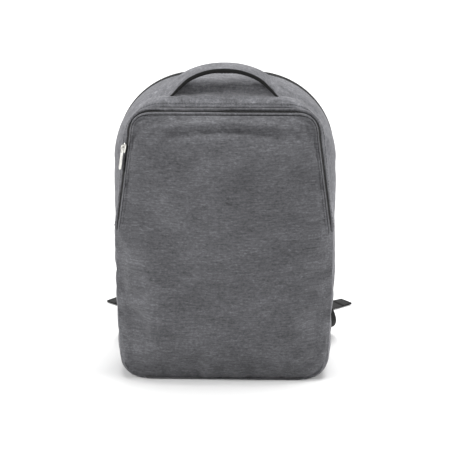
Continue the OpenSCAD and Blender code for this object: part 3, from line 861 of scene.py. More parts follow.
def front_gusset():
    """The wide side and top gusset, from the pocket zip back to the main zip."""
    us = np.linspace(-1, 1, 241)
    zs = outline_at(MAIN_Y, us)[:, 1]
    rear = mix(MAIN_Y, 18.0, smoothstep(*SEAM_OPENS, zs))
    ys = across(us, POCKET_Y, rear, 19)
    grid = facing(body_grid(us, ys))
    pins = border_pins(grid)
    pins[zs < 6] = 1
    loose = 2.6 * smoothstep(20, 2, grid[..., Y])[..., None] + 0.4
    grid = billow(grid, pins, 2.5, 0.006, loose)
    normals = grid_normals(grid)
    x, y, z = (grid[..., k] for k in range(3))
    edge = edge_fade(19, 0.12)
    over_top = smoothstep(330, 384, z) * smoothstep(128, 80, np.abs(x))
    lift = over_top * (4.6 * bump(y, -39.5, 6.0) - 2.6 * bump(y, -29, 4.5))
    lift += soft_waves(z + x, y * 2, 2.2) * edge * smoothstep(360, 330, z)
    crease = bump(z + 0.5 * (y + 20), 150, 7) * (x < 0) + bump(z - 0.4 * (y + 10), 92, 8) * (x > 0)
    lift -= 2.6 * crease * edge * smoothstep(120, 140, np.abs(x))
    grid = grid + normals * lift[..., None]
    ys = grid[..., Y]
    # The gusset's lighter heather is painted light.
    piece = shell("side_gusset_front", grid, FABRIC, [HEATHER_TOP_LIT, LINING], gusset_cloth(us, ys), 1)
    stands_for = ("front_gusset", "lower_gusset_left", "lower_gusset_right")
    settle(piece, bend="main", replaces=stands_for)
    seams = (("gusset_zip_stitches", 15.2, 0.25), ("gusset_front_stitches", -45.4, 0.0))
    for name, across_y, inset in seams:
        keep = zs > (ZIP_END + 2 if across_y > 0 else POCKET_END + 2)
        column = int(np.argmin(np.abs(np.median(ys, axis=0) - across_y)))
        line = (grid + normals * (0.15 - inset))[keep, column]
        made = stitches(name, line, normals[keep, column], GREY_THREAD)
        settle(made, bend="main")


def rear_gusset():
    """The narrow gusset from the main zip to the back panel."""
    us = np.linspace(-1, 1, 241)
    zs = outline_at(MAIN_Y, us)[:, 1]
    front = mix(MAIN_Y, 34.0, smoothstep(*SEAM_OPENS, zs))
    ys = across(us, front, BACK_IN_Y, 9)
    grid = facing(body_grid(us, ys))
    pins = border_pins(grid)
    pins[zs < 6] = 1
    grid = billow(grid, pins, 2.5, 0.006, 2.0)
    edge = edge_fade(9, 0.2)
    lift = soft_waves(grid[..., Z] + grid[..., X], grid[..., Y] * 2 + 40, 1.3) * edge
    grid = grid + grid_normals(grid) * lift[..., None]
    cloth = gusset_cloth(us, grid[..., Y])
    piece = shell("side_gusset_rear", grid, FABRIC, [HEATHER_BACK, LINING], cloth, 1)
    settle(piece, "pack", replaces=("rear_gusset",))
    keep = zs > ZIP_END + 2
    line, normals = grid[keep, 1], grid_normals(grid)[keep, 1]
    made = stitches("rear_gusset_stitches", line + normals * 0.15, normals, GREY_THREAD)
    settle(made, "pack")


def base():
    """The base: a sheet with rounded edges that meets the feet of the walls."""
    rows = np.linspace(0, 1, 27)
    ys = mix(FRONT_Y - 5, BACK_IN_Y + 4, rows)
    stations = [station(np.clip(y, FRONT_Y, BACK_IN_Y)) for y in ys]
    halves = np.array([wall_x(s, FOOT_R) - FOOT_R for s in stations]) + 1.5
    edge = np.minimum(1, np.minimum(rows, 1 - rows) * 12)[:, None]
    grid = places(halves[:, None] * np.linspace(-1, 1, 45), ys[:, None], 2.0 - 1.8 * np.sqrt(edge))
    inner = grid.copy()
    inner[..., Z] = 3.0 + 0.5 * soft_waves(grid[..., X], grid[..., Y], 0.6)
    cloth = grid[..., :2]
    piece = closed_pad("base_panel_fabric", grid, inner, [HEATHER_PANEL_SHADED, LINING], cloth, 1)
    settle(piece, "pack", replaces=("base_panel",))


def zip_half(zip_name, half, tape, teeth, turn, us, inset, rows, pitch, girth, body=None, bend=None):
    """One side of a zip: its knitted tape with a corded edge, and a row of teeth. A turn of 1 puts
    the teeth between those of the other side."""
    name = f"{zip_name}_{half}"
    ys = across(us, tape[0], tape[1], rows)
    grid = facing(body_grid(us, ys, inset))
    normals = grid_normals(grid)
    cord = np.zeros(rows)
    cord[-2] = 0.35
    if abs(grid[0, 0, Y] - tape[0]) > 0.1:
        cord = cord[::-1]
    grid = grid + normals * cord[None, :, None]
    piece = shell(name + "_tape", grid, 1.0, [TAPE], gusset_cloth(us, grid[..., Y]))
    settle(piece, body, bend, replaces=(f"{zip_name}_tape_{half}",))
    ys = across(us, teeth[0], teeth[1], 2)
    pair = body_grid(us, ys, inset)
    middle = pair.mean(axis=1)
    chain, reach = resampled(middle, pitch, pair[:, 1] - pair[:, 0])
    chain, reach = chain[turn:], reach[turn:]
    if turn:
        chain, reach = (chain[1:] + chain[:-1]) / 2, (reach[1:] + reach[:-1]) / 2
    tangent = unit(np.gradient(chain, axis=0))
    up = unit(np.cross(tangent, unit(reach)))
    axes = np.stack([reach, tangent * girth * 0.8, up * girth], axis=1)
    made = scatter(name + "_teeth", chain, axes, COIL)
    settle(made, body, bend, replaces=(f"{zip_name}_coil_{half}",))


def zips():
    """Both zips. Each half has the depths of its tape's edges and of its teeth's ends."""
    main = {"inset": 0.1, "rows": 5, "pitch": 2.2, "girth": 1.7}
    main["us"] = np.linspace(-U_ZIP, U_ZIP, 361)
    pocket = {"inset": 0.7, "rows": 4, "pitch": 1.9, "girth": 1.3}
    pocket["us"] = np.linspace(-U_POCKET, U_POCKET, 321)
    zip_half("main_zip", "front", (18.2, 23.6), (22.6, 26.7), 0, bend="main", **main)
    zip_half("main_zip", "rear", (33.8, 28.4), (25.3, 29.4), 1, body="pack", **main)
    zip_half("pocket_zip", "front", (-55.6, -52.6), (-52.8, -50.9), 0, bend="pocket", **pocket)
    zip_half("pocket_zip", "rear", (-48.4, -50.0), (-51.1, -49.4), 1, body="main_flap", **pocket)


# depths of the pocket lips' edges over the zip, where its slot shows and where it is shut
SLOT_SHOWN = (-53.2, -50.5)
SLOT_SHUT = (-52.2, -51.4)


def pocket_lips():
    """Folded fabric edges that run over both sides of the pocket zip and leave a narrow slot.
    They close at the zip's ends, and nearly close over parts of the top."""
    us = np.linspace(-U_POCKET - 0.012, U_POCKET + 0.012, 301)
    x, z = outline_at(-52.0, us).T
    ends = smoothstep(POCKET_END + 18, POCKET_END - 1, z)
    over_top = smoothstep(360, 372, z)
    shown = np.maximum(bump(x, -99, 12), smoothstep(-12, 4, x) * smoothstep(104, 90, x))
    shut = np.maximum(ends, over_top * (1 - 0.75 * shown))
    front_edge, rear_edge = (mix(shown_y, shut_y, shut) for shown_y, shut_y in zip(SLOT_SHOWN, SLOT_SHUT))
    for name, first, last, bend, puff in (
        ("pocket_lip_front", FRONT_Y + 0.3, front_edge, "pocket", 1.0),
        ("pocket_lip_rear", -47.6, rear_edge, None, 1.5),
    ):
        ys = across(us, first, last, 7)
        grid = facing(body_grid(us, ys))
        share = np.abs(grid[..., Y] - first) / np.abs(last - first)[:, None]
        rise = 0.35 + puff * (0.4 + over_top[:, None]) * np.sin(np.pi * share) ** 0.7
        rise += 0.25 * soft_waves(us * 900, share[:, 3] * 0 + 5, 1.0)[:, None] * share
        grid = grid + grid_normals(grid) * rise[..., None]
        piece = shell(name, grid, 1.1, [HEATHER_FRONT_SHADED], gusset_cloth(us, grid[..., Y]), 1)
        settle(piece, None if bend else "main_flap", bend)


def zip_end_tabs():
    """Folded webbing tabs sewn over the two ends of the main zip."""
    centre = centre_of("main_zip_end_tabs", Z)
    height = high("main_zip_end_tabs", Z) - low("main_zip_end_tabs", Z)
    corners = ((-7, -4), (7, -4), (7, 4), (-7, 4), (-7, -4))
    for side, word in SIDES:
        z = np.linspace(centre - height / 2, centre + height / 2, 9)
        swell = 0.9 * np.sqrt(np.maximum(0, 1 - np.abs((z - centre) / (height / 2)) ** 4))
        x = half_width(MAIN_Y, z) + 0.2 + swell
        path = places(side * x, MAIN_Y, z)
        piece = strip("zip_end_tab_" + word, path, (0, 1, 0), 18.0, WEB_THICK, BLACK_WEBBING)
        line = [[side * (HALF_W + 1.4), MAIN_Y + a, centre + b] for a, b in corners]
        sewn = stitches("tab_thread_" + word, np.array(line), (side, 0, 0), THREAD, 2.6, 1.9, 0.5)
        piece = joined("zip_end_tab_" + word, [piece, sewn])
        settle(piece, "pack", replaces=("main_zip_end_tabs",))


# ---- front panel -----------------------------------------------------------------------------


def front_surface(share, z):
    top = station(FRONT_Y)[1]
    from_foot = np.minimum(1, (np.maximum(0, z) / 60) ** 0.6)
    from_top = np.minimum(1, (np.maximum(0, top - z) / 70) ** 0.6)
    return FRONT_Y - CROWN * (1 - np.abs(share) ** 2.2) ** 0.8 * (from_foot * from_top)


def front_grid():
    """Rows from the foot up. Wing columns on each side run back to the gusset below the pocket zip,
    and run nearly straight back as a hem above it."""
    top = station(FRONT_Y)[1] - 0.1
    last = np.linspace(0, 1, 13)[1:]
    last = mix(340, top, 0.55 * np.sin(last * np.pi / 2) + 0.45 * last)
    zs = np.concatenate([np.linspace(0.4, 340, 82), last])
    shares = np.sin(np.linspace(-1, 1, 69) * np.pi / 2 * 0.86) / math.sin(np.pi / 2 * 0.86)
    grid = np.zeros((len(zs), len(shares) + 8, 3))
    edge = half_width(FRONT_Y, zs, 0.1 * smoothstep(POCKET_END - 6, POCKET_END + 6, zs))
    back = half_width(POCKET_Y, zs)
    is_open = smoothstep(POCKET_END - 7, POCKET_END + 3, zs)
    grid[:, 4:-4, X] = edge[:, None] * shares
    grid[:, 4:-4, Y] = front_surface(shares[None], zs[:, None])
    for k in range(1, 5):
        t = k / 4
        joined_x, joined_y = mix(edge, back, t ** 0.8), mix(FRONT_Y, POCKET_Y, t)
        hem_x, hem_y = edge - 0.5 * t * t, FRONT_Y + 2.6 * t
        x, y = mix(joined_x, hem_x, is_open), mix(joined_y, hem_y, is_open)
        grid[:, 4 - k, X], grid[:, 3 + len(shares) + k, X] = -x, x
        grid[:, 4 - k, Y] = grid[:, 3 + len(shares) + k, Y] = y
    grid[..., Z] = zs[:, None]
    return grid, zs


# soft dents of the front panel: height, slant and the level it turns about, then middle and
# width across, and middle and width upward
DENTS = (
    (4.0, -0.1, 200, 4, 30, 220, 80),
    (-4.6, 0.15, 200, -74, 24, 220, 85),
    (-4.2, -0.12, 200, 80, 22, 205, 90),
    (-3.6, 0, 0, 8, 36, 100, 42),
    (2.4, 0.1, 90, -92, 20, 90, 55),
)


def front_panel():
    """The front fabric in two pieces: the lower one, and the one that opens with the pocket."""
    grid, zs = front_grid()
    grid = facing(grid)
    pins = border_pins(grid)
    above = zs > POCKET_END - 4
    pins[above, :5] = pins[above, -5:] = 1
    pins[zs < 4] = 1
    pins[-3:] = 1
    grid = billow(grid, pins, 4.0, 0.02, 7.0, 18)
    normals = grid_normals(grid)
    x, z = grid[..., X], grid[..., Z]
    inside = smoothstep(1.0, 0.9, np.abs(x) / (half_width(FRONT_Y, z) + 1))
    lift = soft_waves(x, z, 3.2) * inside * smoothstep(0, 20, z) * smoothstep(376, 350, z)
    sag = z + 0.0011 * x * x
    lift -= 4.6 * bump(sag, 357, 3.6) * smoothstep(88, 50, np.abs(x + 4))
    lift += 3.6 * bump(sag, 366, 4.6) * smoothstep(118, 80, np.abs(x))
    lift -= 3.4 * bump(z + 0.35 * x, 56, 5) * smoothstep(-90, -122, x)
    lift -= 3.2 * bump(z - 0.55 * x, -34, 5) * smoothstep(84, 118, x)
    lift -= 2.6 * bump(z + 0.8 * (x + 88), 322, 6) * bump(x, -92, 26)
    lift -= 2.6 * bump(z - 0.7 * (x - 92), 310, 7) * bump(x, 96, 24)
    for height, slant, level, middle, wide, middle_z, tall in DENTS:
        lift += height * bump(x + slant * (z - level), middle, wide) * bump(z, middle_z, tall)
    grid = grid + normals * (lift * inside)[..., None]
    grid[..., Z] = np.maximum(grid[..., Z], 0.3)
    cloth = grid[..., [X, Z]]
    cloth[..., 0] += np.sign(cloth[..., 0]) * (grid[..., Y] - FRONT_Y) * (np.abs(cloth[..., 0]) > 120)
    cut = int(np.argmin(np.abs(zs - (ZIP_END + POCKET_END) / 2)))
    # The front's darker heather is painted shade.
    materials = [HEATHER_FRONT_SHADED, LINING]
    piece = shell("front_panel_lower_fabric", grid[: cut + 1], FABRIC, materials, cloth[: cut + 1])
    settle(piece, bend="main", replaces=("front_panel_lower",))
    piece = shell("front_panel_upper_fabric", grid[cut:], FABRIC, materials, cloth[cut:])
    stands_for = ("front_panel_middle", "front_panel_upper")
    settle(piece, bend="pocket", replaces=stands_for)
    upper = zs > POCKET_END + 3
    for (_, word), column in zip(SIDES, (6, -7)):
        up = grid_normals(grid)[upper, column]
        made = stitches("pocket_stitches_" + word, grid[upper, column] + up * 0.15, up, GREY_THREAD)
        settle(made, bend="pocket")


# ---- back panel ------------------------------------------------------------------------------

CHEVRONS = (280.0, 188.0, 96.0)


def chevron_z(peak, x):
    """Height of a chevron seam: two slanted sides that meet in a small round tip."""
    return peak - 0.3 * np.sqrt(x * x + 60)


def closed_outline(y, z_low):
    """The outline at a depth, closed along a level foot."""
    line = half_outline(y)
    line = line[line[:, 1] > z_low]
    start = [[0, z_low], [float(half_width(y, z_low)), z_low]]
    half = np.vstack([start, line])
    return np.vstack([half, (half * [-1, 1])[::-1]])


def back_panel():
    """The padded back with its chevron grooves, their thread and the piping round its top."""
    s = station(BACK_IN_Y)
    zc, foot = s[1] - s[3], 2.0
    over_top = np.linspace(0, np.pi / 2, 26)[1:] * 0.995
    zs = np.concatenate([np.linspace(foot, zc, 76), zc + s[3] * np.sin(over_top)])
    grid = places(half_width(BACK_IN_Y, zs)[:, None] * np.linspace(-1, 1, 65), 0, zs[:, None])
    flat = grid[..., [X, Z]]
    d = distance_to(resampled(closed_outline(BACK_IN_Y, foot), 6.0), flat)
    round_in = np.sqrt(1 - (1 - np.clip(d / 17, 0, 1)) ** 2)
    inner = grid.copy()
    inner[..., Y] = BACK_IN_Y + 0.2
    rise = BACK_Y - 1.5 - BACK_IN_Y
    grid[..., Y] = BACK_IN_Y + 0.8 + rise * round_in
    x, z = grid[..., X], grid[..., Z]
    groove = np.zeros(x.shape)
    for peak in CHEVRONS:
        groove = np.maximum(groove, bump(z - chevron_z(peak, x), 0, 3.4))
    pins = np.maximum(border_pins(grid), (groove > 0.55) | (d < 9))
    grid = facing(grid, (0, -200, 200))
    if grid[0, 0, X] > 0:
        pins, groove, d, inner = (a[:, ::-1] for a in (pins, groove, d, inner))
    grid = billow(grid, pins.astype(float), 4.0, 0.01, 4.5)
    inside = smoothstep(6, 30, d)
    grid[..., Y] += inside * (soft_waves(grid[..., X], grid[..., Z], 0.8) - 4.2 * groove)
    cloth = grid[..., [Z, X]]
    # The pad's darker heather is painted shade from the straps.
    piece = closed_pad("back_panel_pad", grid, inner, [HEATHER_PANEL_SHADED, LINING], cloth, 1)
    settle(piece, "pack", replaces=("back_panel",))
    line = closed_outline(BACK_Y, 30)
    line = resampled(np.vstack([[1e-3, 30], line[2:-2]])[1:], 5.0)
    path = places(line[:, 0], BACK_Y - 4.2, line[:, 1])
    path = path + np.array([1, 0, 1]) * unit(path - [0, BACK_Y - 4.2, 200]) * 1.6
    piece = tube("back_seam_piping", path, 2.1, BINDING, 8, (0, 1, 0))
    settle(piece, "pack")
    for i, peak in enumerate(CHEVRONS):
        x = np.linspace(-112, 112, 60)
        z = chevron_z(peak, x)
        y = np.array([np.interp(a, *column_profile(grid, b)) for a, b in zip(x, z)])
        made = stitches(f"chevron_thread_{i + 1}", places(x, y + 0.3, z), (0, 1, 0), GREY_THREAD)
        settle(made, "pack")


def column_profile(grid, z):
    """x and y across the back panel's grid at the row nearest to a height."""
    row = grid[int(np.argmin(np.abs(grid[:, grid.shape[1] // 2, Z] - z)))]
    order = np.argsort(row[:, X])
    return row[order, X], row[order, Y]


# ---- handle ----------------------------------------------------------------------------------

HANDLE_Y = -25.0
HANDLE_HALF = 62.0
HANDLE_RISE = 20.0
HANDLE_THICK = 3.5
HANDLE_HALF_WIDTH = 12.6
HANDLE_BELLY = 1.9
ANCHOR_END = 97.0
# how far out the band turns from its own arch into the sewn end
MERGE = (47, 82)
# where the black lining lies: between two turns round the band, and up to a distance out
LINING_TURNS = (2.7, 6.1)
LINING_END = 77


def shoulder_z(x, y):
    """Height of the body's top at a place."""
    x, y = np.broadcast_arrays(np.asarray(x, float), np.asarray(y, float))
    found = np.zeros(x.shape)
    for i in np.ndindex(x.shape):
        s = station(y[i])
        zc = s[1] - s[3]
        out = max(0.0, abs(x[i]) - float(wall_x(s, zc)) + s[2]) / s[2]
        found[i] = zc + s[3] * (1 - min(1, out) ** s[4]) ** (1 / s[4])
    return found


HINGE_Z = float(shoulder_z(HANDLE_HALF, HANDLE_Y)) + 10


def handle():
    """Padded band that arches over the top, and spreads out into the gusset at both ends."""
    ends = np.linspace(60, ANCHOR_END, 14)[1:]
    xs = np.concatenate([-ends[::-1], np.linspace(-60, 60, 41), ends])
    a = circle(24)
    c, s = np.cos(a), np.sin(a)
    rings = np.zeros((len(xs), len(a), 3))
    share = np.abs(xs) / HANDLE_HALF
    rise = np.where(share < 1, 1 - share**2.2, -2.2 * (share - 1))
    slope = np.gradient(HINGE_Z + HANDLE_RISE * rise, xs)
    k = np.clip((np.abs(xs) - HANDLE_HALF) / (ANCHOR_END - HANDLE_HALF), 0, 1)
    flat = np.maximum(0, 1 - 1.8 * k) ** 2
    for i, x in enumerate(xs):
        tilt = mix(0.45, 0.2, max(0, rise[i]))
        wide = unit([0, 1, tilt])
        tangent = unit([1, 0, slope[i]])
        up = np.cross(tangent, wide)
        half = HANDLE_HALF_WIDTH + 1.2 * share[i] ** 2
        arch = np.array([x, HANDLE_Y, HINGE_Z + HANDLE_RISE * rise[i]])
        arch = arch + wide * (half * rounded(c, 0.7))[:, None]
        arch = arch + up * (HANDLE_THICK * rounded(s, 0.75))[:, None]
        belly = np.where(s < 0, HANDLE_BELLY * np.abs(s) ** 0.5, 0)
        arch[:, Z] -= belly
        y = HANDLE_Y + mix(13.5, 17.0, k[i] ** 0.6) * rounded(c, 0.7)
        ground = shoulder_z(np.full(len(a), x), y)
        lift = 8.5 * flat[i] * (1 - 0.35 * np.abs(c) ** 2)
        body = mix(0.7, 3.6, flat[i]) * rounded(s, 0.75)
        sewn = places(x, y, ground + lift + 0.2 + body - belly * (1 - k[i]) ** 2)
        rings[i] = mix(arch, sewn, smoothstep(*MERGE, abs(x)))
    soft = soft_waves(rings[..., X] * 1.4, rings[..., Y] * 3, 0.5)
    rings[..., Z] += soft * smoothstep(95, 80, np.abs(rings[..., X]))
    cloth = np.stack([rings[..., X], np.tile(a * 9, (len(xs), 1))], -1).reshape(-1, 2)
    middles = a + np.pi / len(a)
    lined = (middles > LINING_TURNS[0]) & (middles < LINING_TURNS[1])
    kinds = np.outer(np.abs(xs[:-1]) < LINING_END, lined).ravel()
    kinds = np.append(kinds, [0, 0])
    # The handle's grey is the gusset's lighter heather, painted light.
    piece = loft("carry_handle", rings, [HEATHER_TOP_LIT, BINDING], cloth, face_material=kinds, subdivide=1)
    stands_for = ("handle_cover", "handle_core", "handle_lining", "handle_anchors")
    settle(piece, bend="handle", replaces=stands_for)


# ---- shoulder straps -------------------------------------------------------------------------

WINDOW_HALF, WINDOW_RISE, YOKE_HALF = 39.0, 23.0, 107.0
YOKE_TOP = high("strap_yoke", Z) + 3.0
BIND = 9.5
STRAP_FOOT = 28.0
STRAP_THICK, YOKE_THICK = 11.6, 6.5
# distance from its edge at which a strap reaches its full thickness
STRAP_CROWN = 24

# height, inner edge, outer edge and middle depth of a strap, from the yoke down
STRAP_ROWS = [
    [STRAP_TOP, WINDOW_HALF, YOKE_HALF, 76.4],
    [318, 51.5, 114, 82],
    [285, 57, 119.5, 90],
    [243, 56.5, 122.5, 99],
    [208, 52, 122, 106],
    [174, 45, 119, 112],
    [139, 39, 115, 117],
    [106, 37, 109.5, 121],
    [78, 40, 105, 123],
    [54, 48, 101, 124],
    [38, 57, 95, 124],
    [31, 62.5, 90.5, 123.8],
    [STRAP_FOOT, 68, 86, 123.5],
]
STRAP_LINE = catmull_rom(STRAP_ROWS, 8)[::-1]


def strap_row(z, column):
    return np.interp(z, STRAP_LINE[:, 0], STRAP_LINE[:, column])


def strap_inner(z):
    up = np.clip((np.asarray(z, float) - STRAP_TOP) / WINDOW_RISE, 0, 1)
    return np.where(z > STRAP_TOP, WINDOW_HALF * np.sqrt(1 - up**2), strap_row(z, 1))


def strap_outer(z):
    yoke = np.minimum(YOKE_HALF - (z - STRAP_TOP) * 0.15, half_width(BACK_Y, z) - 3)
    return np.where(z > STRAP_TOP, yoke, strap_row(z, 2))


def strap_bound():
    """The strap's bound edge: down the outer side, round the end, up the inner side, over the
    window."""
    z = np.linspace(YOKE_TOP, STRAP_FOOT, 130)
    outer = np.column_stack([strap_outer(z), z])
    z = np.linspace(STRAP_FOOT, STRAP_TOP, 110)
    inner = np.column_stack([strap_row(z, 1), z])
    a = np.linspace(0, np.pi / 2, 20)[1:]
    window = np.column_stack([WINDOW_HALF * np.cos(a), STRAP_TOP + WINDOW_RISE * np.sin(a)])
    return np.vstack([outer, inner, window])


BOUND = strap_bound()


def strap_faces(z, d):
    """Depths of the strap's two faces, at a height and at a distance from its bound edge."""
    full = mix(STRAP_THICK, YOKE_THICK, smoothstep(STRAP_TOP + 4, YOKE_TOP, z))
    full = full * mix(0.72, 1, smoothstep(26, 60, z))
    thick = full * (0.36 + 0.64 * np.sqrt(1 - (1 - np.clip(d / STRAP_CROWN, 0, 1)) ** 2))
    centre = strap_row(z, 3)
    in_yoke = smoothstep(332, STRAP_TOP + 2, z)
    near = mix(centre - thick / 2, BACK_Y + 0.5, in_yoke)
    return near, near + thick


def strap_pad(side, word):
    """A shoulder strap's pad and its half of the yoke."""
    z_free = np.linspace(STRAP_FOOT, STRAP_TOP, 84)[:-1]
    z_window = STRAP_TOP + WINDOW_RISE * np.sin(np.linspace(0, np.pi / 2, 10))
    z_yoke = np.linspace(z_window[-1], YOKE_TOP, 5)[1:]
    zs = np.concatenate([z_free, z_window, z_yoke])
    inner, outer = strap_inner(zs)[:, None], strap_outer(zs)[:, None]
    grid = places(mix(inner, outer, np.linspace(0, 1, 21)), 0, zs[:, None])
    d = distance_to(resampled(BOUND, 4.0), grid[..., [X, Z]])
    near, far = strap_faces(grid[..., Z], d)
    back = grid.copy()
    grid[..., Y], back[..., Y] = far, near
    pins = np.maximum(border_pins(grid), d < 12).astype(float)
    if facing(grid, (80, -300, 200)) is not grid:
        grid, back, pins, d = (a[:, ::-1] for a in (grid, back, pins, d))
    seed = 0 if side > 0 else 90
    grid = billow(grid, pins, 4.0, 0.012, 2.6)
    inside = smoothstep(10, 23, d)
    grid[..., Y] += inside * soft_waves(grid[..., X] + seed, grid[..., Z] * 1.3 + seed, 0.8)
    grid[..., Y] -= inside * 1.1 * bump(grid[..., Z] + 0.3 * (grid[..., X] - 80), 300 + seed / 9, 6)
    grid[..., Y] -= inside * 0.9 * bump(grid[..., Z] - 0.2 * (grid[..., X] - 80), 150 - seed / 9, 6)
    back[..., Y] -= inside * 0.4 * soft_waves(back[..., X], back[..., Z], 1.0) * (zs < 330)[:, None]
    cloth = grid[..., [Z, X]]
    mirror = np.array([side, 1, 1])
    materials = [HEATHER_BACK, MESH_CLOTH]
    piece = closed_pad("shoulder_strap_" + word, grid * mirror, back * mirror, materials, cloth, 1)
    stands_for = ("strap_pad_" + word, "strap_yoke")
    settle(piece, bend="strap_" + word, replaces=stands_for)


def strap_binding(side, word):
    """Binding folded over the strap's edge, with a row of thread on its outer face."""
    edge = resampled(BOUND, 3.0)
    tangent = unit(np.gradient(edge, axis=0))
    inward = np.column_stack([tangent[:, 1], -tangent[:, 0]])
    probe = edge + inward * 3
    mirror = np.array([side, 1, 1])
    middle_x = mix(strap_inner(probe[:, 1]), strap_outer(probe[:, 1]), 0.5)
    if np.mean(((middle_x - edge[:, 0]) * inward[:, 0])[:60]) < 0:
        inward = -inward
    inward[(edge[:, 0] > 70) & (edge[:, 1] > YOKE_TOP - 14)] = (-1, 0)
    steps = np.array([BIND, 7.5, 5, 2.5, 0.8])
    proud = np.array([0.35, 0.75, 0.85, 0.85, 0.8])
    rings, thread = [], []
    for (x, z), (nx, nz) in zip(edge, inward):
        zs = z + nz * steps
        near, far = strap_faces(zs, steps)
        xs = np.maximum(x + nx * steps, 0.0)
        out_far = places(xs, far + proud, zs)
        out_near = places(xs, near - proud, zs)
        near0, far0 = strap_faces(z, 0.0)
        rim = [[x - nx * 0.9, mix(near0, far0, t), z - nz * 0.9] for t in (0.88, 0.5, 0.12)]
        folds = ((BIND, near[0] + 0.3), (1.4, near0 + 1), (1.4, far0 - 1), (BIND, far[0] - 0.3))
        inside = [[max(x + nx * s, 0), y, z + nz * s] for s, y in folds]
        rings.append(np.vstack([out_far, rim, out_near[::-1], inside]))
        thread.append(out_far[1])
    rings = np.array(rings) * mirror
    k = rings.shape[1]
    along = np.repeat(lengths_along(edge), k)
    cloth = np.column_stack([along, np.tile(np.arange(k) * 2.2, len(edge))])
    piece = loft("strap_edge_" + word, rings, [BINDING], cloth)
    stands_for = ("strap_binding_" + word, "strap_yoke_binding")
    settle(piece, bend="strap_" + word, replaces=stands_for)
    line = np.array(thread)[4:] * mirror
    made = stitches("strap_thread_" + word, line, (0, 1, 0), THREAD, 3.4, 2.4, 0.55)
    settle(made, bend="strap_" + word)


# ---- strap ends: tab, ladder lock, webbing ---------------------------------------------------

LOCK_Y = centre_of("ladder_lock_right", Y)
LOCK_LOW, LOCK_HIGH = span("ladder_lock_right", Z)
BAR_Z = LOCK_HIGH - 3
LOCK_HALF = (high("ladder_lock_right", X) - low("ladder_lock_right", X)) / 2


def strap_tab(side, word):
    """Black webbing sewn to the strap's end, folded round the ladder lock's top bar."""
    top = high("strap_tab_right", Z)
    plate_y = low("strap_tab_right", Y) + 0.75
    turn = np.linspace(-0.5, 1.42, 14) * np.pi
    loop = [[LOCK_Y - 3.3 * math.cos(a), BAR_Z - 3.3 * math.sin(a)] for a in turn[3:]]
    route = [[plate_y, top], [plate_y, top - 12], [plate_y, BAR_Z + 8]] + loop
    route += [[LOCK_Y - 1.2, BAR_Z + 8], [LOCK_Y - 2.0, BAR_Z + 12]]
    route = resampled(catmull_rom(route, 6), 1.4)
    path = places(side * TAB_X, *route.T)
    piece = strip("strap_tab_band_" + word, path, (1, 0, 0), WEBBING, 1.2, BLACK_WEBBING)
    box = [(-9.5, 78), (9.5, 78), (9.5, 62), (-9.5, 62), (-9.5, 78), (9.5, 62)]
    sewn = []
    for i, line in enumerate((box, [(-9.5, 62), (9.5, 78)])):
        out, up = np.array(line).T
        spots = places(side * (TAB_X + out), plate_y + 0.85, up)
        sewn.append(stitches(f"tab_cross_{word}_{i}", spots, (0, 1, 0), *WEB_STITCH))
    piece = joined("strap_tab_band_" + word, [piece, *sewn])
    settle(piece, "strap_" + word, replaces=("strap_tab_" + word,))


def ladder_lock(side, word):
    """Moulded ladder lock: two shaped rails, a round top bar, two ridged bars, a lipped end bar and
    three bars in front, which show as its ladder and are a lighter plastic for a painted highlight."""
    parts = []
    centre = side * TAB_X
    profile = [(-2.6, LOCK_LOW + 2), (-3, LOCK_LOW + 9), (-2.8, BAR_Z - 1), (-2.2, BAR_Z + 2)]
    profile += [(0, BAR_Z + 3), (2.2, BAR_Z + 2), (4.4, BAR_Z - 3), (6.6, BAR_Z - 8), (6.8, 31)]
    profile += [(5.6, 25), (2.9, LOCK_LOW + 4), (1.4, LOCK_LOW), (-1, LOCK_LOW)]
    for s in (-1, 1):
        start = centre + s * (LOCK_HALF - 2) - 1.9

        def rail_place(a, b, c, start=start):
            return np.column_stack([start + c, LOCK_Y + a, b])

        parts.append(solid(f"rail_{word}_{s + 1}", profile, 3.8, rail_place, PLASTIC, 0.6))
    width = np.linspace(-LOCK_HALF + 2, LOCK_HALF - 2, 9)
    arch = 0.5 * (1 - (width / LOCK_HALF) ** 2)
    a = circle(16)
    # height, depth, and half sizes in depth and height of each bar behind
    bars = ((BAR_Z, 0, 2.1, 2.1), (38, 1, 1.9, 1.7), (28, 1, 1.9, 1.7), (LOCK_LOW + 2.4, 1.5, 1.5, 2.4))
    for i, (z, y, deep, tall) in enumerate(bars):
        ys = LOCK_Y + y + arch[:, None] * (0.6 if i else 0) + rounded(np.cos(a), 0.6) * deep
        rings = places(centre + width[:, None], ys, z + rounded(np.sin(a), 0.6) * tall)
        parts.append(loft(f"bar_{word}_{i}", rings, [PLASTIC], sharp=0.9))
        for k in (-1, 0, 1) if i in (1, 2) else ():
            path = places(centre + width * 0.94, LOCK_Y + y + 1.9 + arch * 0.6, z + k * 1.1)
            parts.append(tube(f"grip_{word}_{i}_{k + 1}", path, 0.32, PLASTIC, 6))
    # The three front bars take the lighter plastic, a painted highlight along them.
    for i, z in enumerate((BAR_Z - 9, 38.0, 29.5)):
        path = places(centre + width, LOCK_Y + 6.3 + 1.2 * arch, z)
        parts.append(tube(f"front_bar_{word}_{i}", path, 1.35, LOCK_BARS_HIGHLIT, 10))
    piece = joined("ladder_lock_moulding_" + word, parts)
    settle(piece, "adjuster_" + word, replaces=("ladder_lock_" + word,))


def adjuster_webbing(side, word):
    """The webbing inside the lock: up behind the bars, over the upper one and down in front."""
    depths = LOCK_Y + np.array([-2.6, -2.4, -2.3, -1.9, 0.4, 3.2, 4.3, 4.3, 4.6])
    heights = [LOCK_LOW + 1, 26, 34, 41, 43.4, 42, 37, 28, 19]
    line = resampled(catmull_rom(np.column_stack([depths, heights]), 8), 1.6)
    path = places(side * TAB_X, *line.T)
    piece = strip("lock_webbing_" + word, path, (1, 0, 0), WEBBING - 0.6, 1.3, BLACK_WEBBING)
    settle(piece, "adjuster_" + word, replaces=("adjuster_webbing_" + word,))


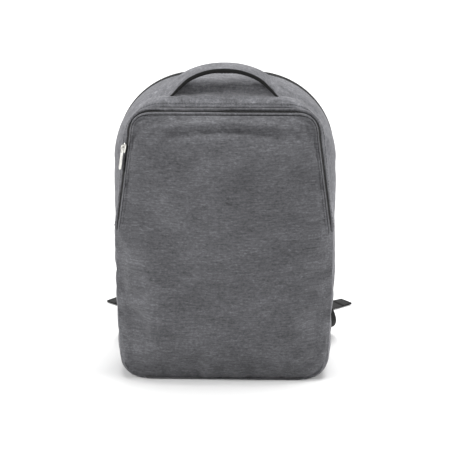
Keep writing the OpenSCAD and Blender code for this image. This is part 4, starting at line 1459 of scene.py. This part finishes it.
# rows of a webbing's middle as x, y, z and its width's direction, for the right side
TAIL_ROUTE = [
    [74, 138.9, 19.5, 1, 0, 0],
    [74.2, 140.2, 13, 1, -0.05, 0],
    [76, 145, 7, 1, -0.15, 0],
    [81, 154, 3.4, 0.9, -0.45, 0],
    [98, 172, 4, 0.75, -0.66, 0],
    [126, 199, 7, 0.7, -0.7, 0.08],
    [158, 227, 3.6, 0.66, -0.75, -0.05],
    [190, 254, 1.8, 0.66, -0.75, 0],
]
LOWER_ROUTE = [
    [131, 77.5, 71, 0.62, 0.22, 0.75],
    [138.5, 80.8, 62, 0.62, 0.22, 0.75],
    [143, 83, 55.5, 0.62, 0.2, 0.72],
    [147.5, 86, 47, 0.8, 0.1, 0.5],
    [152, 95, 31, 0.97, 0, 0.2],
    [151, 108, 14, 0.9, 0.4, 0.1],
    [142, 119, 5.2, 0.5, 0.85, 0],
    [125, 125, 1.8, 0.1, 1, 0],
    [108, 126, 1.8, 0, 1, 0],
    [92, 128, 4.5, -0.2, 1, 0],
    [81, 130.4, 10, -0.75, 0.75, 0.1],
    [75.5, 131.4, 16, -1, 0.25, 0.05],
]


def routed(rows, side):
    """Path and width directions of a webbing along a route, on a side."""
    rows = catmull_rom(rows, 8)
    path, wide = resampled(rows[:, :3], 2.4, rows[:, 3:])
    mirror = np.array([side, 1, 1])
    return path * mirror, unit(wide * mirror)


def webbing_tail(side, word):
    """The free webbing below a lock, with its end folded back and sewn."""
    path, wide = routed(TAIL_ROUTE, side)
    piece = strip("strap_tail_" + word, path, wide, WEBBING, WEB_THICK, BLACK_WEBBING)
    across_it, up = path_frame(path, wide)
    sign = 1 if up[-2, Z] > 0 else -1
    hem = path[-9:] + up[-9:] * sign * 1.5
    fold = strip("tail_fold_" + word, hem, wide[-9:], WEBBING, 1.3, BLACK_WEBBING)
    rows = []
    for i, k in enumerate((-3, -8)):
        line = np.array([path[k] + across_it[k] * w + up[k] * sign * 2.4 for w in (-10.5, 0, 10.5)])
        rows.append(stitches(f"hem_thread_{word}_{i}", line, up[k] * sign, *WEB_STITCH))
    piece = joined("strap_tail_" + word, [piece, fold, *rows])
    settle(piece, "tail_" + word, replaces=("webbing_tail_" + word,))
    line = path * MM
    long, wide = lengths_along(line)[-1], WEBBING * MM


def lower_webbing(side, word):
    """The webbing from the side wing round to the lock."""
    path, wide = routed(LOWER_ROUTE, side)
    piece = strip("lower_strap_" + word, path, wide, WEBBING, WEB_THICK, BLACK_WEBBING)
    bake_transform(piece)
    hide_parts("lower_webbing_" + word)


def side_wing(side, word):
    """Triangular wing of folded black fabric, with its hem and its sewn box over the webbing."""
    t = np.linspace(0, 1, 13)
    out, up = t[None, :], t[:, None]
    x = mix(112, mix(130, 147, up), out)
    y = mix(72.6, mix(78.9, 84.4, up), out) + 1.2 * np.sin(np.pi * out) * np.sin(np.pi * up)
    z = mix(mix(40, 50, out), mix(88, 72, out), up) - 2.5 * np.sin(np.pi * out) * (up - 0.5)
    grid = places(side * x, y, z)
    cloth = grid[..., [X, Z]]
    piece = shell("side_wing_fabric_" + word, grid, 2.0, [BINDING], cloth, 1, (side * 125, -300, 60))
    sewn = []
    for i, row in enumerate((1, -2)):
        line = grid[row, 1:-1] + [0, 0.4, 0]
        sewn.append(stitches(f"wing_thread_{word}_{i}", line, (0, 1, 0), THREAD, 3.0, 2.1, 0.5))
    piece = joined("side_wing_fabric_" + word, [piece, *sewn])
    settle(piece, "pack", replaces=("side_wing_" + word,))


# ---- sliders and pullers ---------------------------------------------------------------------

MAIN_SLIDER_Z = centre_of("main_zip_slider", Z)
# depth and height of the pocket zip's slider
POCKET_SLIDER = (-51.0, 330.0)


def main_place(x, y, z):
    """Places a slider's points on the main zip. x stands out from the zip."""
    return places(-HALF_W - x, MAIN_Y + y, MAIN_SLIDER_Z + z)


def pocket_place(x, y, z):
    """Places a slider's points on the leaning pocket zip. x stands out from the zip."""
    lean, turn = math.atan(0.14), math.radians(17)
    x = -1.1 - x
    a, b = x * math.cos(turn) - y * math.sin(turn), x * math.sin(turn) + y * math.cos(turn)
    px = a * math.cos(lean) + z * math.sin(lean)
    pz = -a * math.sin(lean) + z * math.cos(lean)
    depth, height = POCKET_SLIDER
    return places(px - float(wall_x(station(depth), height)), b + depth, pz + height)


# a slider's plate and bail, and a puller's plate with its eye
WINGS = mirrored([(-4.3, 6), (-4.5, 1), (-3, -3), (-2.9, -6.4)]) + [(1.6, 6.6), (0, 5), (-1.6, 6.6)]
BAIL = [(2.2, -4.8), (4.6, -4.4), (6.4, -2.4), (6.6, 0.5), (6.1, 3.4), (4.6, 4.7), (2.2, 4.9)]
BAIL += [(2.2, 3.2), (3.9, 2.9), (4.9, 1.2), (4.9, -1.0), (3.9, -2.9), (2.2, -3.2)]
GRIP = mirrored([(-4.0, 1.0), (-4.1, -8.5), (-3.4, -11), (-4.2, -14), (-4.2, -28), (-2.8, -30)])
EYE = mirrored([(-2.6, -0.2), (-2.6, -7), (-1.4, -8.2)])


def slider(zip_name, place, material):
    """A zip slider: its winged top plate, lower plate edges and bail."""
    name = zip_name + "_slider_metal"

    def plate(a, b, c):
        return place(0.9 + c, a, b)

    def bail(a, b, c):
        return place(a, c - 1.3, b)

    parts = [solid(name + "_plate", WINGS, 1.6, plate, material, 0.45)]
    parts.append(solid(name + "_bail", BAIL, 2.6, bail, material, 0.4))
    for s in (-1, 1):
        z = np.linspace(-5.6, 5.4, 7)
        y = s * np.interp(z, [-6, -3, 1, 6], [2.9, 3.0, 4.3, 4.1])
        parts.append(tube(f"{name}_lip_{s + 1}", place(1.0, y, z), 0.5, material, 6, (0, 1, 0)))
    piece = joined(name, parts)
    settle(piece, zip_name + "_slider", replaces=(zip_name + "_zip_slider",))


def puller(zip_name, place, material):
    """A puller: an eye round the slider's bail, a waisted neck, and a grip with ridges."""
    name = zip_name + "_puller_metal"

    def plate(a, b, c):
        return place(3.8 + c, a, b)

    parts = [solid(name + "_plate", GRIP, 1.6, plate, material, 0.45, [EYE])]
    for i in range(5):
        path = place(5.5, np.linspace(-2.7, 2.7, 5), -16.0 - 2.4 * i)
        parts.append(tube(f"{name}_ridge_{i}", path, 0.45, material, 6))
    piece = joined(name, parts)
    settle(piece, zip_name + "_puller", replaces=(zip_name + "_zip_puller",))


def zip_hardware():
    for zip_name, place, material, slot in (
        ("main", main_place, PLASTIC, "black_plastic"),
        ("pocket", pocket_place, METAL, "zip_metal"),
    ):
        slider(zip_name, place, material)
        puller(zip_name, place, material)


# ---- inside ----------------------------------------------------------------------------------


def divider(name, z_low, z_high, bend, body, node):
    """Lining sheet between the pocket and the main compartment."""
    y = centre_of("divider_lower", Y)
    zs = np.linspace(z_low, z_high, max(8, int((z_high - z_low) / 7)))
    shares = np.linspace(-1, 1, 33)
    grid = places((half_width(POCKET_Y, zs) - 6.0)[:, None] * shares, 0, zs[:, None])
    calm = (1 - np.abs(shares) ** 4)[None] * smoothstep(z_high, z_high - 20, zs)[:, None]
    calm = calm * (smoothstep(8, 30, zs)[:, None] if z_low < 20 else 1)
    grid[..., Y] = y - 0.8 + 1.0 * soft_waves(grid[..., X], grid[..., Z] * 1.5, 1.2) * calm
    cloth = grid[..., [X, Z]]
    piece = shell(name, grid, 1.2, [LINING], cloth, 0, (0, 300, 200))
    settle(piece, body, bend, replaces=(node,))


def laptop_sleeve():
    """Quilted sleeve for a laptop against the back: padded front, folded sides and a bound mouth."""
    x1 = high("laptop_sleeve", X)
    z0, z1 = span("laptop_sleeve", Z)
    y0, y1 = span("laptop_sleeve", Y)
    bend_r = 5.0
    side = np.array([[-x1, y1], [-x1, mix(y1, y0, 0.5)], [-x1, y0 + bend_r]])
    a = np.linspace(0.3, 1.57, 5)
    corner = np.column_stack([-x1 + bend_r * (1 - np.cos(a)), y0 + bend_r * (1 - np.sin(a))])
    half = np.vstack([side, corner])
    face = np.column_stack([np.linspace(-x1 + bend_r + 4, x1 - bend_r - 4, 44), np.full(44, y0)])
    line = np.vstack([half, face, (half * [-1, 1])[::-1]])
    zs = np.linspace(z0, z1, 48)
    grid = places(*line.T, zs[:, None])
    flat_face = smoothstep(x1 - 2, x1 - 10, np.abs(grid[..., X]))
    quilt = np.abs(np.sin(np.pi * grid[..., X] / 48))
    quilt = quilt * np.abs(np.sin(np.pi * (grid[..., Z] - z0) / 64.5))
    outer = grid.copy()
    outer[..., Y] += flat_face * (1.6 - 1.6 * quilt**0.35)
    cloth = grid[..., [X, Z]]
    piece = shell("laptop_sleeve_pad", outer, 4.0, [LINING, HEATHER_PANEL_SHADED], cloth, 0, (0, 200, 170))
    settle(piece, "pack", replaces=("laptop_sleeve",))
    rim = places(line[:, 0], line[:, 1] + 1.8, z1 + 0.3)
    piece = strip("sleeve_mouth_binding", rim, (0, 0, 1), 11.0, 5.6, BINDING)
    settle(piece, "pack")
    floor_line = places(np.linspace(-x1 + 3, x1 - 3, 30), mix(y0, y1, 0.5), z0 + 2.2)
    piece = strip("sleeve_floor", floor_line, (0, 1, 0), y1 - y0 - 6, 3.6, LINING)
    settle(piece, "pack")


def organiser():
    """Mesh pocket with a bound mouth, pen channels and an elastic edge, on the divider."""
    (x0, x1), (y0, y1), (z0, z1) = (span("organiser_pocket", axis) for axis in (X, Y, Z))
    grid = places(np.linspace(x0, x1, 60), 0, np.linspace(z0, z1, 30)[:, None])
    share = (grid[..., X] - x0) / (x1 - x0)
    channels = np.abs(np.sin(np.pi * np.where(share < 0.5, share * 2, 1 + (share - 0.5) * 8))) ** 0.5
    belly = np.minimum(1, (grid[..., Z] - z0) / 22) ** 0.5 * smoothstep(z1 + 40, z0, grid[..., Z])
    grid[..., Y] = y1 - 1.2 - (y1 - y0 - 1.4) * channels * (0.45 + 0.55 * belly)
    cloth = grid[..., [X, Z]]
    piece = shell("organiser_net", grid, 0.9, [MESH_CLOTH], cloth, 0, (0, 300, 200))
    settle(piece, "main_flap", replaces=("organiser_pocket",))
    path = grid[-1] + [0, 0, 0.5]
    piece = strip("organiser_binding", path, (0, 0, 1), 9.0, 1.6, BINDING)
    settle(piece, "main_flap")
    for i, line in enumerate((grid[:, 0], grid[:, 29], grid[0])):
        path = line - [0, 0.4, 0]
        made = strip(f"organiser_tape_{i + 1}", path, (1, 0, 0) if i < 2 else (0, 0, 1), 6.0, 1.2, BINDING)
        settle(made, "main_flap")


def boards():
    """The stiff boards, which keep their CAD shape."""
    for node in ("back_board", "base_board"):
        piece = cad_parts[node]
        piece.data.materials.clear()
        piece.data.materials.append(BOARD)


# ---- floor, light and camera -----------------------------------------------------------------


FLOOR_HALF = 30000.0


def soft_sun(name, toward, strength, spread):
    """A broad distant light that shines from a direction."""
    data = bpy.data.lights.new(name, "SUN")
    data.energy = strength
    data.angle = math.radians(spread)
    light = bpy.data.objects.new(name, data)
    light.rotation_euler = Vector(toward).to_track_quat("Z", "Y").to_euler()
    bpy.context.scene.collection.objects.link(light)


def stage():
    """Plain pale floor and soft studio light."""
    line = np.linspace(-FLOOR_HALF, FLOOR_HALF, 9)
    grid = places(line, line[:, None], 0)
    floor = add_mesh("floor", grid.reshape(-1, 3), grid_faces(9, 9), [floor_paper("floor_paper")])
    world = bpy.data.worlds.new("studio")
    world.use_nodes = True
    background = world.node_tree.nodes["Background"].inputs
    background["Color"].default_value = (1, 1, 1, 1)
    background["Strength"].default_value = 0.52
    bpy.context.scene.world = world
    bpy.context.scene.view_settings.view_transform = "Standard"
    soft_sun("left_light", (-0.95, -0.26, 0.5), 3.0, 16)
    soft_sun("right_light", (0.95, -0.16, 0.42), 2.3, 22)
    soft_sun("top_light", (0.1, 0.2, 1.0), 3.4, 40)


def camera():
    """The photograph's viewing angle: from in front and a little above."""
    centre = Vector((0, 0, 0.208))
    elevation, azimuth, distance = math.radians(17), math.radians(1.5), 1.85
    data = bpy.data.cameras.new("camera")
    data.lens = 106
    data.sensor_width = 36
    eye = bpy.data.objects.new("camera", data)
    flat = math.cos(elevation)
    outward = Vector((flat * math.sin(azimuth), -flat * math.cos(azimuth), math.sin(elevation)))
    eye.location = centre + distance * outward
    eye.rotation_euler = (centre - eye.location).to_track_quat("-Z", "Y").to_euler()
    bpy.context.scene.collection.objects.link(eye)
    bpy.context.scene.camera = eye


# ---- the whole model -------------------------------------------------------------------------

camera()
stage()
front_gusset()
rear_gusset()
base()
zips()
pocket_lips()
zip_end_tabs()
front_panel()
back_panel()
handle()
for side, word in SIDES:
    strap_pad(side, word)
    strap_binding(side, word)
    strap_tab(side, word)
    ladder_lock(side, word)
    adjuster_webbing(side, word)
    webbing_tail(side, word)
    lower_webbing(side, word)
    side_wing(side, word)
zip_hardware()
divider("divider_lower_sheet", 6.0, 119.6, None, "pack", "divider_lower")
divider("divider_upper_sheet", 117.0, 373.0, "main", None, "pocket_divider")
laptop_sleeve()
organiser()
boards()
